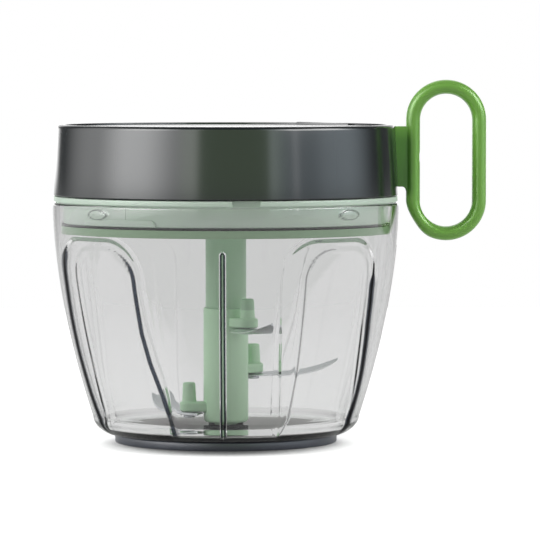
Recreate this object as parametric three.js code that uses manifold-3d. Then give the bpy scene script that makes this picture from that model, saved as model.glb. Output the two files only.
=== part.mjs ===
// A pull-cord food chopper, in millimetres. +Z is up, the pull handle is on the +X side, and the
// origin is under the middle of the foot.
import * as THREE from "three";
import { ConvexGeometry } from "three/addons/geometries/ConvexGeometry.js";
import { mergeVertices } from "three/addons/utils/BufferGeometryUtils.js";
import Module from "manifold-3d";

const wasm = await Module();
wasm.setup();

// Clearances
const seatGap = 0.3;
const runningGap = 0.3;
const dogGap = 0.5;
const screwGap = 0.3;
const cutOverrun = 1;
const mergeTolerance = 0.0001;

// Bowl
const bowlRimRadius = 65.4;
const bowlRimHeight = 90.6;
const bowlHeelDrawIn = 15.1;
const bowlHeelHeight = 9.6;
const bowlBaseDrawIn = 7.1;
const bowlWall = 2.4;
const bowlFloor = 2.4;
const bowlCurveShare = 1.75;
const archDrop = 2.6;
const archTopHalfWidth = 28.5;
const archFootHalfWidth = 19.4;
const archCornerRadius = 15;
const archDepth = 1.2;
const archInnerExtra = 1.2;
const finWidth = 2.4;
const finHeight = 0.8;
const finDrop = 4;
const bumpWidth = 7.2;
const bumpHeight = 3.8;
const bumpDepth = 0.5;
const bumpDrop = 3.1;

// Foot pad
const footInset = 1.2;
const footHeight = 2.8;
const footRibInset = 9;
const footRibWidth = 2.2;
const footRibDepth = 1.5;

// Pivot under the blade post
const pinRadius = 2.5;
const pinLength = 30;
const pinSocketDepth = 1.5;
const pinChamfer = 0.6;
const washerRadius = 8.5;
const washerThickness = 0.7;
const washerCollarRadius = 6.6;
const washerCollarHeight = 0.7;
const bushWall = 1.2;
const bushLength = 12;

// Blade post and its arms
const columnRadius = 8.5;
const columnNeckRadius = 7.7;
const columnStepHeight = 50.7;
const columnBottomRound = 1.6;
const columnSocketRadius = 4.5;
const columnSocketDepth = 8;
const armThickness = 3.5;
const armHalfWidth = 3.9;
const mountRadius = 14;
const pegRadius = 2.7;
const pegHeight = 7.4;
const pegRound = 0.9;
const upperArmHeight = 43.9;
const middleArmHeight = 25.6;
const lowerArmHeight = 11.7;
const upperArmAngle = -54.5;
const middleArmAngle = 42;
const lowerArmAngle = 184;

// Blades and their screws
const bladeDrawIn = 14.3;
const bladeHeel = 7.5;
const bladeThickness = 1;
const bladeSpineBulge = 4.6;
const bladeEdgeBulge = 8.6;
const bladeTipWidth = 0.6;
const bladeTipRise = 4.4;
const bladeBendStartShare = 0.5;
const bladeWidestShare = 0.4;
const bladeFullness = 0.75;
const upperBladeAngle = -21.5;
const middleBladeAngle = -19;
const lowerBladeAngle = -70;
const bladeScrewRadius = 1.1;
const bladeScrewHeadRadius = 2.3;
const bladeScrewHeadHeight = 0.9;
const bladeScrewLength = 8;

// Claw drive
const dogInnerRadius = 4.8;
const dogOuterRadius = 7.4;
const dogHeight = 3.5;
const dogSpan = 25;
const hubFlangeRadius = 10;
const hubFlangeThickness = 2.4;
const hubShaftRadius = 7.5;
const hubLedgeRise = 0.6;
const hubHexRadius = 5.2;

// Lid base
const flangeInset = 0.5;
const flangeThickness = 2.1;
const skirtClearance = 1.6;
const skirtWall = 2.4;
const skirtDepth = 9.7;
const sealGrooveDepth = 1.2;
const sealGrooveRise = 0.4;
const sealThickness = 1;
const notchLeft = 2;
const notchRight = 14.2;
const notchSlant = 0.8;
const notchDepth = 2.4;
const tabHeight = 2.6;
const tabDepth = 0.6;
const tabSpan = 32;
const tabCentreAngle = -40;
const hubBearingWall = 1.5;
const hubBearingFlangeWidth = 2.2;
const hubBearingFlangeThickness = 0.8;

// Lid cover
const coverInset = 0.4;
const coverTaper = 1.3;
const coverHeight = 26;
const coverWall = 2.2;
const coverTopThickness = 2.4;
const coverEdgeRound = 1.5;
const coverRimWidth = 3;
const coverRimRise = 0.4;
const thumbRiseLength = 26;
const thumbRiseSlant = 0.8;
const thumbRiseAngle = 49.5;
const thumbRiseReach = 61;
const thumbRiseWidth = 3.5;
const thumbRiseHeight = 0.5;
const postRadius = 3.6;
const postInset = 15;
const coverScrewRadius = 1.4;
const coverScrewLength = 11;
const coverScrewHeadRadius = 2.8;
const coverScrewHeadHeight = 1.6;

// Spindle in the lid
const spindleRadius = 2.5;
const spindleBossRadius = 6;
const spindleWasherRadius = 4.2;
const spindleWasherThickness = 0.7;
const spindleScrewRadius = 1.2;
const spindleScrewHeadRadius = 3.4;
const spindleScrewHeadHeight = 1.6;
const spindleScrewLength = 7;

// Clutch
const clutchRadius = 13;
const clutchThickness = 2.2;
const clutchToothInner = 8;
const clutchToothHeight = 1.2;
const clutchToothSpan = 24;
const clutchSpringHeight = 3.9;
const clutchSpringRadius = 6.6;
const clutchSpringWire = 0.3;
const clutchSpringTurns = 2.5;

// Reel, cord and return spring
const drumRadius = 22;
const drumWall = 2;
const drumHeight = 8;
const reelFlangeRadius = 28;
const reelPlate = 1.5;
const reelCapThickness = 1.2;
const reelSpigotHeight = 1.5;
const reelSpigotWidth = 2.2;
const cordRadius = 1;
const cordSpacing = 2.5;
const cordTurns = 2.25;
const springStripThickness = 0.5;
const springStripHeight = 5.8;
const springTurns = 5;

// Cord eyelet
const eyeletBoreRadius = 1.6;
const eyeletRadius = 3.2;
const eyeletFlangeRadius = 4.6;
const eyeletFlangeThickness = 1.6;
const cordDrop = 11.7;

// Pull handle
const handleLength = 60.7;
const handleWidth = 30.3;
const handleBar = 5.3;
const handleThickness = 8.4;
const handleEdgeRound = 2.1;
const handleCentreDrop = 12.9;
const neckLength = 3.1;
const neckHeight = 22.9;
const neckThickness = 6;
const neckFillet = 1.5;
const ferruleRadius = 2;
const ferruleLength = 3;
const plugThickness = 1;
const plugRadius = 2.4;

// Sides and steps of the round shapes
const roundSides = 48;
const innerSides = 30;
const smallSides = 16;
const screwSides = 10;
const cordSides = 6;
const cordStepsPerTurn = 24;
const springStepsPerTurn = 16;
const coilSides = 5;
const coilStepsPerTurn = 10;
const wallSteps = 6;
const cornerSteps = 3;
const archSides = 4;
const bumpSides = 8;
const handleArcSides = 10;
const bladeSteps = 10;
const degree = Math.PI / 180;
const quarterTurn = Math.PI / 2;
const fullTurn = 2 * Math.PI;

// Directions about the axis, in degrees
const wholeTurn = 360;
const halfStep = 0.5;
const around = (count, startStep = 0) =>
  Array.from({ length: count }, (_, i) => (wholeTurn * (i + startStep)) / count);
const finAngles = around(4);
const panelAngles = around(4, halfStep);
const postAngles = around(4, halfStep);
const columnDogAngles = around(3);
const hubDogAngles = around(3, halfStep);
const toothAngles = around(6);
const hexagonAngles = around(6);

// Radii that follow from the sizes above
const bowlHeelRadius = bowlRimRadius - bowlHeelDrawIn;
const bowlBaseRadius = bowlHeelRadius - bowlBaseDrawIn;
const bladeLength = bowlHeelRadius - bladeDrawIn;
const footRadius = bowlBaseRadius - footInset;
const footRibRadius = footRadius - footRibInset;
const flangeRadius = bowlRimRadius - flangeInset;
const skirtRadius = bowlRimRadius - bowlWall - skirtClearance;
const coverRadius = bowlRimRadius - coverInset;
const coverTopRadius = coverRadius - coverTaper;
const postCircleRadius = coverRadius - postInset;

// Heights that follow from the sizes above
const bowlBase = footHeight + seatGap;
const floorTop = bowlBase + bowlFloor;
const columnBottom = floorTop + seatGap + washerThickness + washerCollarHeight + runningGap;
const flangeBottom = bowlRimHeight + seatGap;
const deckTop = flangeBottom + flangeThickness;
const coverBottom = deckTop + seatGap;
const coverTop = coverBottom + coverHeight;
const coverRimTop = coverTop + coverRimRise;
const skirtBottom = flangeBottom - skirtDepth;
const archTopHeight = skirtBottom - archDrop;
const finTop = archTopHeight - finDrop;
const hubFlangeTop = flangeBottom - runningGap;
const hubFlangeBottom = hubFlangeTop - hubFlangeThickness;
const columnTop = hubFlangeBottom - dogHeight - dogGap;
const bearingTop = deckTop + seatGap + hubBearingFlangeThickness;
const hubLedge = bearingTop + hubLedgeRise;
const clutchBottom = hubLedge + clutchSpringHeight + 2 * seatGap;
const clutchTop = clutchBottom + clutchThickness;
const reelBottom = clutchTop + clutchToothHeight + runningGap;
const drumBottom = reelBottom + reelPlate;
const reelCapBottom = drumBottom + drumHeight + seatGap;
const reelCapTop = reelCapBottom + reelCapThickness;
const cordHeight = coverTop - cordDrop;
const cordCircle = drumRadius + seatGap + cordRadius;

// A closed three.js geometry as a solid that can be joined and cut.
function solidFrom(geometry) {
  const bare = geometry.index ? geometry.toNonIndexed() : geometry.clone();
  bare.deleteAttribute("normal");
  bare.deleteAttribute("uv");
  const merged = mergeVertices(bare, mergeTolerance);
  const corners = merged.index.array;
  const kept = [];
  for (let i = 0; i < corners.length; i += 3) {
    const [a, b, c] = [corners[i], corners[i + 1], corners[i + 2]];
    if (a !== b && b !== c && c !== a) kept.push(a, b, c);
  }
  const vertProperties = merged.attributes.position.array;
  return new wasm.Manifold(
    new wasm.Mesh({ numProp: 3, vertProperties, triVerts: new Uint32Array(kept) }),
  );
}

const join = (first, ...others) => others.reduce((sum, next) => sum.add(next), first);
const cut = (first, ...others) => others.reduce((rest, next) => rest.subtract(next), first);

// A profile of [radius, height] points, turned about the Z axis.
function turned(profile, sides = roundSides) {
  let area = 0;
  profile.forEach(([r, z], i) => {
    const [nextR, nextZ] = profile[(i + 1) % profile.length];
    area += r * nextZ - nextR * z;
  });
  const ordered = area < 0 ? [...profile].reverse() : profile;
  const points = ordered.map(([r, z]) => new THREE.Vector2(r, z));
  return solidFrom(new THREE.LatheGeometry(points, sides).rotateX(quarterTurn));
}

function disc(radius, bottom, top, sides = roundSides) {
  return turned([[0, bottom], [radius, bottom], [radius, top], [0, top]], sides);
}

function ring(inner, outer, bottom, top, sides = roundSides) {
  return turned(
    [[inner, bottom], [outer, bottom], [outer, top], [inner, top], [inner, bottom]],
    sides,
  );
}

// A flat outline, raised from bottom to top.
function raised(outline, bottom, top, sides = smallSides) {
  const settings = { depth: top - bottom, bevelEnabled: false, curveSegments: sides };
  return solidFrom(new THREE.ExtrudeGeometry(outline, settings).translate(0, 0, bottom));
}

// An outline drawn across and up, pushed outwards along the direction at an angle about Z.
function pushedOut(outline, from, to, angle, sides = smallSides) {
  const settings = { depth: to - from, bevelEnabled: false, curveSegments: sides };
  const geometry = new THREE.ExtrudeGeometry(outline, settings).translate(0, 0, from);
  geometry.rotateX(quarterTurn).rotateZ(angle * degree + quarterTurn);
  return solidFrom(geometry);
}

function polygon(points) {
  return new THREE.Shape(points.map(([x, y]) => new THREE.Vector2(x, y)));
}

// A slice of a cake between two angles.
function wedge(centreAngle, span, reach, bottom, top) {
  const edge = (angle) => [reach * Math.cos(angle * degree), reach * Math.sin(angle * degree)];
  const points = [[0, 0], edge(centreAngle - span / 2), edge(centreAngle + span / 2)];
  return raised(polygon(points), bottom, top);
}

function sector(inner, outer, bottom, top, centreAngle, span) {
  const slice = wedge(centreAngle, span, 2 * outer, bottom - cutOverrun, top + cutOverrun);
  return ring(inner, outer, bottom, top).intersect(slice);
}

function moved(solid, x, y, z) {
  return solidFrom(geometryFrom(solid).translate(x, y, z));
}

function spun(solid, angle) {
  return solidFrom(geometryFrom(solid).rotateZ(angle * degree));
}

function geometryFrom(solid) {
  const { numProp, vertProperties, triVerts } = solid.getMesh();
  const places = new Float32Array((vertProperties.length / numProp) * 3);
  for (let i = 0; i < places.length / 3; i += 1) {
    places.set(vertProperties.subarray(i * numProp, i * numProp + 3), i * 3);
  }
  const geometry = new THREE.BufferGeometry();
  geometry.setAttribute("position", new THREE.BufferAttribute(places, 3));
  geometry.setIndex(new THREE.BufferAttribute(new Uint32Array(triVerts), 1));
  return geometry;
}

// A closed skin over rings of points, one ring after another, with both ends capped.
function skinned(rings) {
  const count = rings[0].length;
  const triangles = [];
  const add = (a, b, c) => triangles.push(...a, ...b, ...c);
  for (let i = 0; i + 1 < rings.length; i += 1) {
    for (let j = 0; j < count; j += 1) {
      const k = (j + 1) % count;
      add(rings[i][j], rings[i][k], rings[i + 1][k]);
      add(rings[i][j], rings[i + 1][k], rings[i + 1][j]);
    }
  }
  const last = rings[rings.length - 1];
  for (let j = 1; j + 1 < count; j += 1) {
    add(rings[0][0], rings[0][j + 1], rings[0][j]);
    add(last[0], last[j], last[j + 1]);
  }
  const geometry = new THREE.BufferGeometry();
  geometry.setAttribute("position", new THREE.Float32BufferAttribute(triangles, 3));
  return solidFrom(geometry);
}

// A round tube through points that never run straight up.
function tube(points, radius, sides) {
  const up = new THREE.Vector3(0, 0, 1);
  const rings = points.map((point, i) => {
    const before = points[Math.max(i - 1, 0)];
    const after = points[Math.min(i + 1, points.length - 1)];
    const along = after.clone().sub(before).normalize();
    const across = new THREE.Vector3().crossVectors(up, along).normalize();
    const over = new THREE.Vector3().crossVectors(along, across);
    return Array.from({ length: sides }, (_, j) => {
      const angle = (fullTurn * j) / sides;
      const place = point.clone();
      place.addScaledVector(across, radius * Math.cos(angle));
      place.addScaledVector(over, radius * Math.sin(angle));
      return place.toArray();
    });
  });
  return skinned(rings);
}

// The least gap between points that lie more than half a turn apart along a winding.
function leastGap(points, stepsPerTurn, thickness) {
  let least = Infinity;
  points.forEach((point, i) => {
    for (let j = i + stepsPerTurn / 2; j < points.length; j += 1) {
      least = Math.min(least, point.distanceTo(points[j]) - thickness);
    }
  });
  return least;
}

const finish = (color, roughness, metalness = 0) =>
  new THREE.MeshStandardMaterial({ color, roughness, metalness });

const charcoalGloss = finish(0x3a4448, 0.18);
const paleMint = finish(0xbdd0bc, 0.4);
const postMint = finish(0x95b298, 0.4);
const handleGreen = finish(0x6ca04e, 0.35);
const clearSmoke = finish(0xd4d6d6, 0.08);
clearSmoke.transparent = true;
clearSmoke.opacity = 0.35;
const bladeSteel = finish(0xb9bcc0, 0.25, 1);
const pinSteel = finish(0xa9acb0, 0.3, 1);
const springSteel = finish(0x8d9196, 0.35, 1);
const brass = finish(0xb59a5a, 0.35, 1);
const darkRubber = finish(0x33393e, 0.7);
const footRubber = finish(0x50555f, 0.45);
const darkAcetal = finish(0x2c3033, 0.4);
const whiteAcetal = finish(0xe4e6e2, 0.45);
const cordFibre = finish(0xe9ebe6, 0.85);

const chopper = new THREE.Group();

function place(parent, name, solid, material) {
  const mesh = new THREE.Mesh(geometryFrom(solid), material);
  mesh.name = name;
  parent.add(mesh);
  return mesh;
}

// The bowl

function wallRadius(z) {
  const rise = (z - bowlHeelHeight) / (bowlRimHeight - bowlHeelHeight);
  const left = 1 - THREE.MathUtils.clamp(rise, 0, 1);
  return bowlRimRadius - (bowlRimRadius - bowlHeelRadius) * left ** bowlCurveShare;
}

// The bowl's outer form, drawn in by an inset; a negative inset swells it.
function bowlForm(inset, bottom, top) {
  const profile = [[0, bottom]];
  const across = bowlHeelRadius - bowlBaseRadius - inset;
  const down = bowlHeelHeight - bottom;
  for (let i = 0; i < cornerSteps; i += 1) {
    const angle = (i / cornerSteps) * quarterTurn;
    const r = bowlBaseRadius + across * Math.sin(angle);
    profile.push([r, bowlHeelHeight - down * Math.cos(angle)]);
  }
  for (let i = 0; i <= wallSteps; i += 1) {
    const z = bowlHeelHeight + ((bowlRimHeight - bowlHeelHeight) * i) / wallSteps;
    profile.push([wallRadius(z) - inset, z]);
  }
  if (top > bowlRimHeight) profile.push([bowlRimRadius - inset, top]);
  profile.push([0, top]);
  return turned(profile);
}

// One arched panel's outline, widened all round by an extra.
function archOutline(extra) {
  const foot = archFootHalfWidth + extra;
  const half = archTopHalfWidth + extra;
  const top = archTopHeight + extra;
  const corner = archCornerRadius + extra;
  const outline = new THREE.Shape();
  outline.moveTo(-foot, bowlBase - cutOverrun);
  outline.lineTo(foot, bowlBase - cutOverrun);
  outline.lineTo(half, top - corner);
  outline.absarc(half - corner, top - corner, corner, 0, quarterTurn, false);
  outline.absarc(corner - half, top - corner, corner, quarterTurn, Math.PI, false);
  outline.closePath();
  return outline;
}

function bowlShell() {
  const reach = bowlRimRadius + cutOverrun;
  const arches = (extra) =>
    join(...panelAngles.map((a) => pushedOut(archOutline(extra), pinRadius, reach, a, archSides)));
  const outer = bowlForm(0, bowlBase, bowlRimHeight);
  const reliefCut = cut(arches(0), bowlForm(archDepth, bowlBase, bowlRimHeight + cutOverrun));
  const room = bowlForm(bowlWall, floorTop, bowlRimHeight + cutOverrun);
  const narrowRoom = bowlForm(bowlWall + archDepth, floorTop, bowlRimHeight + cutOverrun);
  const cavity = cut(room, cut(arches(archInnerExtra), narrowRoom));
  const finOutline = new THREE.Shape();
  finOutline.moveTo(-finWidth / 2, bowlBase);
  finOutline.lineTo(finWidth / 2, bowlBase);
  finOutline.absarc(0, finTop - finWidth / 2, finWidth / 2, 0, Math.PI, false);
  finOutline.closePath();
  const finForm = bowlForm(-finHeight, bowlBase, bowlRimHeight);
  const finStart = bowlBaseRadius - bowlWall;
  const fins = finAngles.map((a) =>
    pushedOut(finOutline, finStart, reach, a, archSides).intersect(finForm),
  );
  const rib = ring(
    footRibRadius - footRibWidth,
    footRibRadius,
    bowlBase - footRibDepth,
    bowlBase + seatGap,
  );
  const socketBottom = floorTop - pinSocketDepth;
  const socket = disc(pinRadius + seatGap, socketBottom, floorTop + cutOverrun, smallSides);
  const bumpHeightCentre = bowlRimHeight - bumpDrop;
  const bumpCircle = wallRadius(bumpHeightCentre) - bowlWall;
  const bumps = panelAngles.map((a) => {
    const bump = new THREE.SphereGeometry(1, bumpSides, bumpSides - 2);
    bump.scale(2 * bumpDepth, bumpWidth / 2, bumpHeight / 2);
    bump.translate(bumpCircle + bumpDepth, 0, bumpHeightCentre).rotateZ(a * degree);
    return solidFrom(bump);
  });
  return cut(join(cut(outer, reliefCut), ...fins, rib), cavity, socket).add(join(...bumps));
}

const bowl = new THREE.Group();
chopper.add(bowl);
place(bowl, "bowl_shell", bowlShell(), clearSmoke);
const ribRoom = ring(
  footRibRadius - footRibWidth - seatGap,
  footRibRadius + seatGap,
  bowlBase - footRibDepth - seatGap,
  footHeight + cutOverrun,
);
place(bowl, "foot_pad", cut(disc(footRadius, 0, footHeight), ribRoom), footRubber);

const pinBottom = floorTop - pinSocketDepth + seatGap;
const pinTop = pinBottom + pinLength;
const pinProfile = [
  [0, pinBottom],
  [pinRadius, pinBottom],
  [pinRadius, pinTop - pinChamfer],
  [pinRadius - pinChamfer, pinTop],
  [0, pinTop],
];
place(bowl, "pivot_pin", turned(pinProfile, smallSides), pinSteel);

const washerBottom = floorTop + seatGap;
const washerProfile = [
  [pinRadius + runningGap, washerBottom],
  [washerRadius, washerBottom],
  [washerRadius, washerBottom + washerThickness],
  [washerCollarRadius, washerBottom + washerThickness],
  [washerCollarRadius, washerBottom + washerThickness + washerCollarHeight],
  [pinRadius + runningGap, washerBottom + washerThickness + washerCollarHeight],
  [pinRadius + runningGap, washerBottom],
];
place(bowl, "pivot_washer", turned(washerProfile, innerSides), darkRubber);

// The blade post, its blades and screws

const bladeSets = [
  { name: "upper", height: upperArmHeight, angle: upperArmAngle, turn: upperBladeAngle },
  { name: "middle", height: middleArmHeight, angle: middleArmAngle, turn: middleBladeAngle },
  { name: "lower", height: lowerArmHeight, angle: lowerArmAngle, turn: lowerBladeAngle },
];

function roundedPeg(radius, bottom, top, round, sides) {
  const profile = [[0, bottom], [radius, bottom]];
  for (let i = 0; i <= cornerSteps; i += 1) {
    const angle = (i / cornerSteps) * quarterTurn;
    const r = radius - round + round * Math.cos(angle);
    profile.push([r, top - round + round * Math.sin(angle)]);
  }
  profile.push([0, top]);
  return turned(profile, sides);
}

// One arm with its peg, drawn along +X.
function arm(height) {
  const outline = new THREE.Shape();
  outline.moveTo(0, -armHalfWidth);
  outline.absarc(mountRadius, 0, armHalfWidth, -quarterTurn, quarterTurn, false);
  outline.lineTo(0, armHalfWidth);
  outline.closePath();
  const plate = raised(outline, height, height + armThickness, screwSides / 2);
  const pegTop = height + armThickness + pegHeight;
  const peg = roundedPeg(pegRadius, height + armThickness / 2, pegTop, pegRound, smallSides);
  return plate.add(moved(peg, mountRadius, 0, 0));
}

function bladeColumn() {
  const round = columnBottomRound;
  const profile = [[0, columnBottom]];
  for (let i = 0; i <= cornerSteps; i += 1) {
    const angle = (i / cornerSteps) * quarterTurn;
    const r = columnRadius - round + round * Math.sin(angle);
    profile.push([r, columnBottom + round - round * Math.cos(angle)]);
  }
  profile.push(
    [columnRadius, columnStepHeight],
    [columnNeckRadius, columnStepHeight],
    [columnNeckRadius, columnTop],
    [0, columnTop],
  );
  const arms = bladeSets.map(({ height, angle }) => spun(arm(height), angle));
  const socket = disc(
    columnSocketRadius,
    columnTop - columnSocketDepth,
    columnTop + cutOverrun,
    smallSides,
  );
  const bushRoom = pinRadius + runningGap + bushWall + seatGap;
  const lowerBore = disc(bushRoom, columnBottom - cutOverrun, columnBottom + bushLength, smallSides);
  const pinBore = disc(pinRadius + runningGap, columnBottom, pinTop + runningGap, smallSides);
  const screwBores = bladeSets.map(({ height, angle }) => {
    const bore = disc(
      bladeScrewRadius + screwGap,
      height - cutOverrun,
      height + bladeScrewLength + screwGap,
      screwSides,
    );
    return spun(moved(bore, mountRadius, 0, 0), angle);
  });
  const dogs = columnDogAngles.map((angle) =>
    sector(dogInnerRadius, dogOuterRadius, columnTop - seatGap, columnTop + dogHeight, angle, dogSpan),
  );
  const body = join(turned(profile, innerSides), ...arms);
  return join(cut(body, socket, lowerBore, pinBore, ...screwBores), ...dogs);
}

// The blade's half outline and height at a share of the way from its heel to its tip.
function bladeStation(share, top) {
  const x = -bladeHeel + (bladeHeel + bladeLength) * share;
  const fromWidest = share - bladeWidestShare;
  const reach = fromWidest < 0 ? bladeWidestShare : 1 - bladeWidestShare;
  const swell = Math.cos((quarterTurn * fromWidest) / reach) ** bladeFullness;
  const past = Math.max(share - bladeBendStartShare, 0) / (1 - bladeBendStartShare);
  return {
    x,
    spine: bladeTipWidth / 2 + bladeSpineBulge * swell,
    edge: -bladeTipWidth / 2 - bladeEdgeBulge * swell,
    z: top + bladeTipRise * past ** 2,
  };
}

// A curved blade with its screw hole at the origin and its tip along +X. Its heel is hollowed
// where it passes the post.
function blade(top, turn) {
  const rings = Array.from({ length: bladeSteps + 1 }, (_, i) => {
    const { x, spine, edge, z } = bladeStation(i / bladeSteps, top);
    return [
      [x, edge, z - bladeThickness],
      [x, spine, z - bladeThickness],
      [x, spine, z],
      [x, edge, z],
    ];
  });
  const hole = disc(
    bladeScrewRadius + screwGap,
    top - bladeThickness - cutOverrun,
    top + cutOverrun,
    screwSides,
  );
  const postX = -mountRadius * Math.cos(turn * degree);
  const postY = mountRadius * Math.sin(turn * degree);
  const postRoom = disc(
    columnRadius + seatGap,
    top - bladeThickness - cutOverrun,
    top + cutOverrun,
    innerSides,
  );
  return cut(skinned(rings), hole, moved(postRoom, postX, postY, 0));
}

const column = new THREE.Group();
chopper.add(column);
place(column, "blade_column", bladeColumn(), postMint);
const bushInner = pinRadius + runningGap;
const bushBottom = columnBottom + seatGap;
const bushTop = columnBottom + bushLength - seatGap;
const bush = ring(bushInner, bushInner + bushWall, bushBottom, bushTop, smallSides);
place(column, "column_bush", bush, brass);

for (const { name, height, angle, turn } of bladeSets) {
  const mount = new THREE.Group();
  mount.rotation.z = angle * degree;
  column.add(mount);
  const bladeTop = height - seatGap;
  const bladeMesh = place(mount, `blade_${name}`, blade(bladeTop, turn), bladeSteel);
  bladeMesh.position.x = mountRadius;
  bladeMesh.rotation.z = turn * degree;
  const headTop = bladeTop - bladeThickness - seatGap;
  const screw = join(
    disc(bladeScrewHeadRadius, headTop - bladeScrewHeadHeight, headTop, smallSides),
    disc(bladeScrewRadius, headTop - bladeScrewHeadHeight, height + bladeScrewLength, screwSides),
  );
  place(mount, `blade_screw_${name}`, screw, pinSteel).position.x = mountRadius;
}

// The lid's sealing ring, which the lid turns in

const lid = new THREE.Group();
chopper.add(lid);
const grooveBottom = skirtBottom + sealGrooveRise;
const grooveTop = grooveBottom + sealThickness + 2 * seatGap;
const sealBottom = grooveBottom + seatGap;
const sealInner = skirtRadius - sealGrooveDepth + seatGap;
const sealOuter = wallRadius(sealBottom) - bowlWall - seatGap;
place(lid, "lid_seal", ring(sealInner, sealOuter, sealBottom, sealBottom + sealThickness), darkRubber);

// The lid base

function lidBase() {
  const deckBore = hubShaftRadius + runningGap + hubBearingWall + seatGap;
  const profile = [
    [deckBore, flangeBottom],
    [skirtRadius - skirtWall, flangeBottom],
    [skirtRadius - skirtWall, skirtBottom],
    [skirtRadius, skirtBottom],
    [skirtRadius, grooveBottom],
    [skirtRadius - sealGrooveDepth, grooveBottom],
    [skirtRadius - sealGrooveDepth, grooveTop],
    [skirtRadius, grooveTop],
    [skirtRadius, flangeBottom],
    [flangeRadius, flangeBottom],
    [flangeRadius, deckTop],
    [deckBore, deckTop],
    [deckBore, flangeBottom],
  ];
  const notch = polygon([
    [notchLeft + notchSlant, flangeBottom - cutOverrun],
    [notchRight - notchSlant, flangeBottom - cutOverrun],
    [notchRight, deckTop + cutOverrun],
    [notchLeft, deckTop + cutOverrun],
  ]);
  const notchCut = pushedOut(notch, flangeRadius - notchDepth, flangeRadius + cutOverrun, -90);
  const tabs = finAngles.map((turn) =>
    sector(
      skirtRadius - seatGap,
      skirtRadius + tabDepth,
      grooveTop,
      grooveTop + tabHeight,
      tabCentreAngle + turn,
      tabSpan,
    ),
  );
  const screwHoles = postAngles.map((angle) => {
    const bore = disc(
      coverScrewRadius + screwGap,
      flangeBottom - cutOverrun,
      deckTop + cutOverrun,
      screwSides,
    );
    return spun(moved(bore, postCircleRadius, 0, 0), angle);
  });
  return cut(join(turned(profile), ...tabs), notchCut, ...screwHoles);
}

place(lid, "lid_base", lidBase(), paleMint);

const bearingInner = hubShaftRadius + runningGap;
const bearingOuter = bearingInner + hubBearingWall;
const bearing = join(
  ring(bearingInner, bearingOuter, flangeBottom, bearingTop, innerSides),
  ring(
    bearingInner,
    bearingOuter + hubBearingFlangeWidth,
    deckTop + seatGap,
    bearingTop,
    innerSides,
  ),
);
place(lid, "hub_bearing", bearing, whiteAcetal);

// The lid cover

function coverSideRadius(z) {
  return coverRadius - (coverTaper * (z - coverBottom)) / coverHeight;
}

function coverForm(inset, bottom, top) {
  const round = Math.max(coverEdgeRound - inset, coverEdgeRound / 2);
  const edge = coverSideRadius(coverTop) - inset;
  const profile = [[0, bottom], [coverSideRadius(bottom) - inset, bottom]];
  for (let i = 0; i <= cornerSteps; i += 1) {
    const angle = (i / cornerSteps) * quarterTurn;
    const r = edge - round + round * Math.cos(angle);
    profile.push([r, top - round + round * Math.sin(angle)]);
  }
  profile.push([0, top]);
  return turned(profile);
}

const coverInnerTop = coverTop - coverTopThickness;

function lidCover() {
  const rimInner = coverTopRadius - coverRimWidth;
  const shell = cut(
    coverForm(0, coverBottom, coverRimTop),
    coverForm(coverWall, coverBottom - cutOverrun, coverInnerTop),
    disc(rimInner, coverTop, coverRimTop + cutOverrun),
  );
  const posts = postAngles.map((angle) => {
    const post = disc(postRadius, coverBottom, coverInnerTop + seatGap, screwSides);
    return spun(moved(post, postCircleRadius, 0, 0), angle);
  });
  const postBores = postAngles.map((angle) => {
    const top = coverBottom + coverScrewLength + screwGap;
    const bore = disc(coverScrewRadius + screwGap, coverBottom - cutOverrun, top, screwSides);
    return spun(moved(bore, postCircleRadius, 0, 0), angle);
  });
  const boss = ring(
    spindleRadius + seatGap,
    spindleBossRadius,
    reelCapTop + runningGap,
    coverInnerTop + seatGap,
    smallSides,
  );
  const rise = polygon([
    [-thumbRiseLength / 2, coverTop - seatGap],
    [thumbRiseLength / 2, coverTop - seatGap],
    [thumbRiseLength / 2 - thumbRiseSlant, coverRimTop + thumbRiseHeight],
    [-thumbRiseLength / 2, coverRimTop],
  ]);
  const riseInner = thumbRiseReach - thumbRiseWidth;
  const thumbRise = pushedOut(rise, riseInner, thumbRiseReach, thumbRiseAngle);
  const eyeletSide = coverSideRadius(cordHeight);
  const eyeletHole = pushedOut(
    new THREE.Shape().absarc(0, cordHeight, eyeletRadius + seatGap, 0, fullTurn, false),
    eyeletSide - 2 * coverWall,
    eyeletSide + coverWall,
    0,
  );
  return cut(join(shell, ...posts, boss, thumbRise), eyeletHole, ...postBores);
}

place(lid, "lid_cover", lidCover(), charcoalGloss);

postAngles.forEach((angle, i) => {
  const headTop = flangeBottom - seatGap;
  const screw = join(
    disc(coverScrewHeadRadius, headTop - coverScrewHeadHeight, headTop, smallSides),
    disc(coverScrewRadius, headTop - coverScrewHeadHeight, coverBottom + coverScrewLength, screwSides),
  );
  const mesh = place(lid, `cover_screw_${i + 1}`, screw, pinSteel);
  mesh.position.set(
    postCircleRadius * Math.cos(angle * degree),
    postCircleRadius * Math.sin(angle * degree),
    0,
  );
});

// The spindle, its washer and its screw

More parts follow.
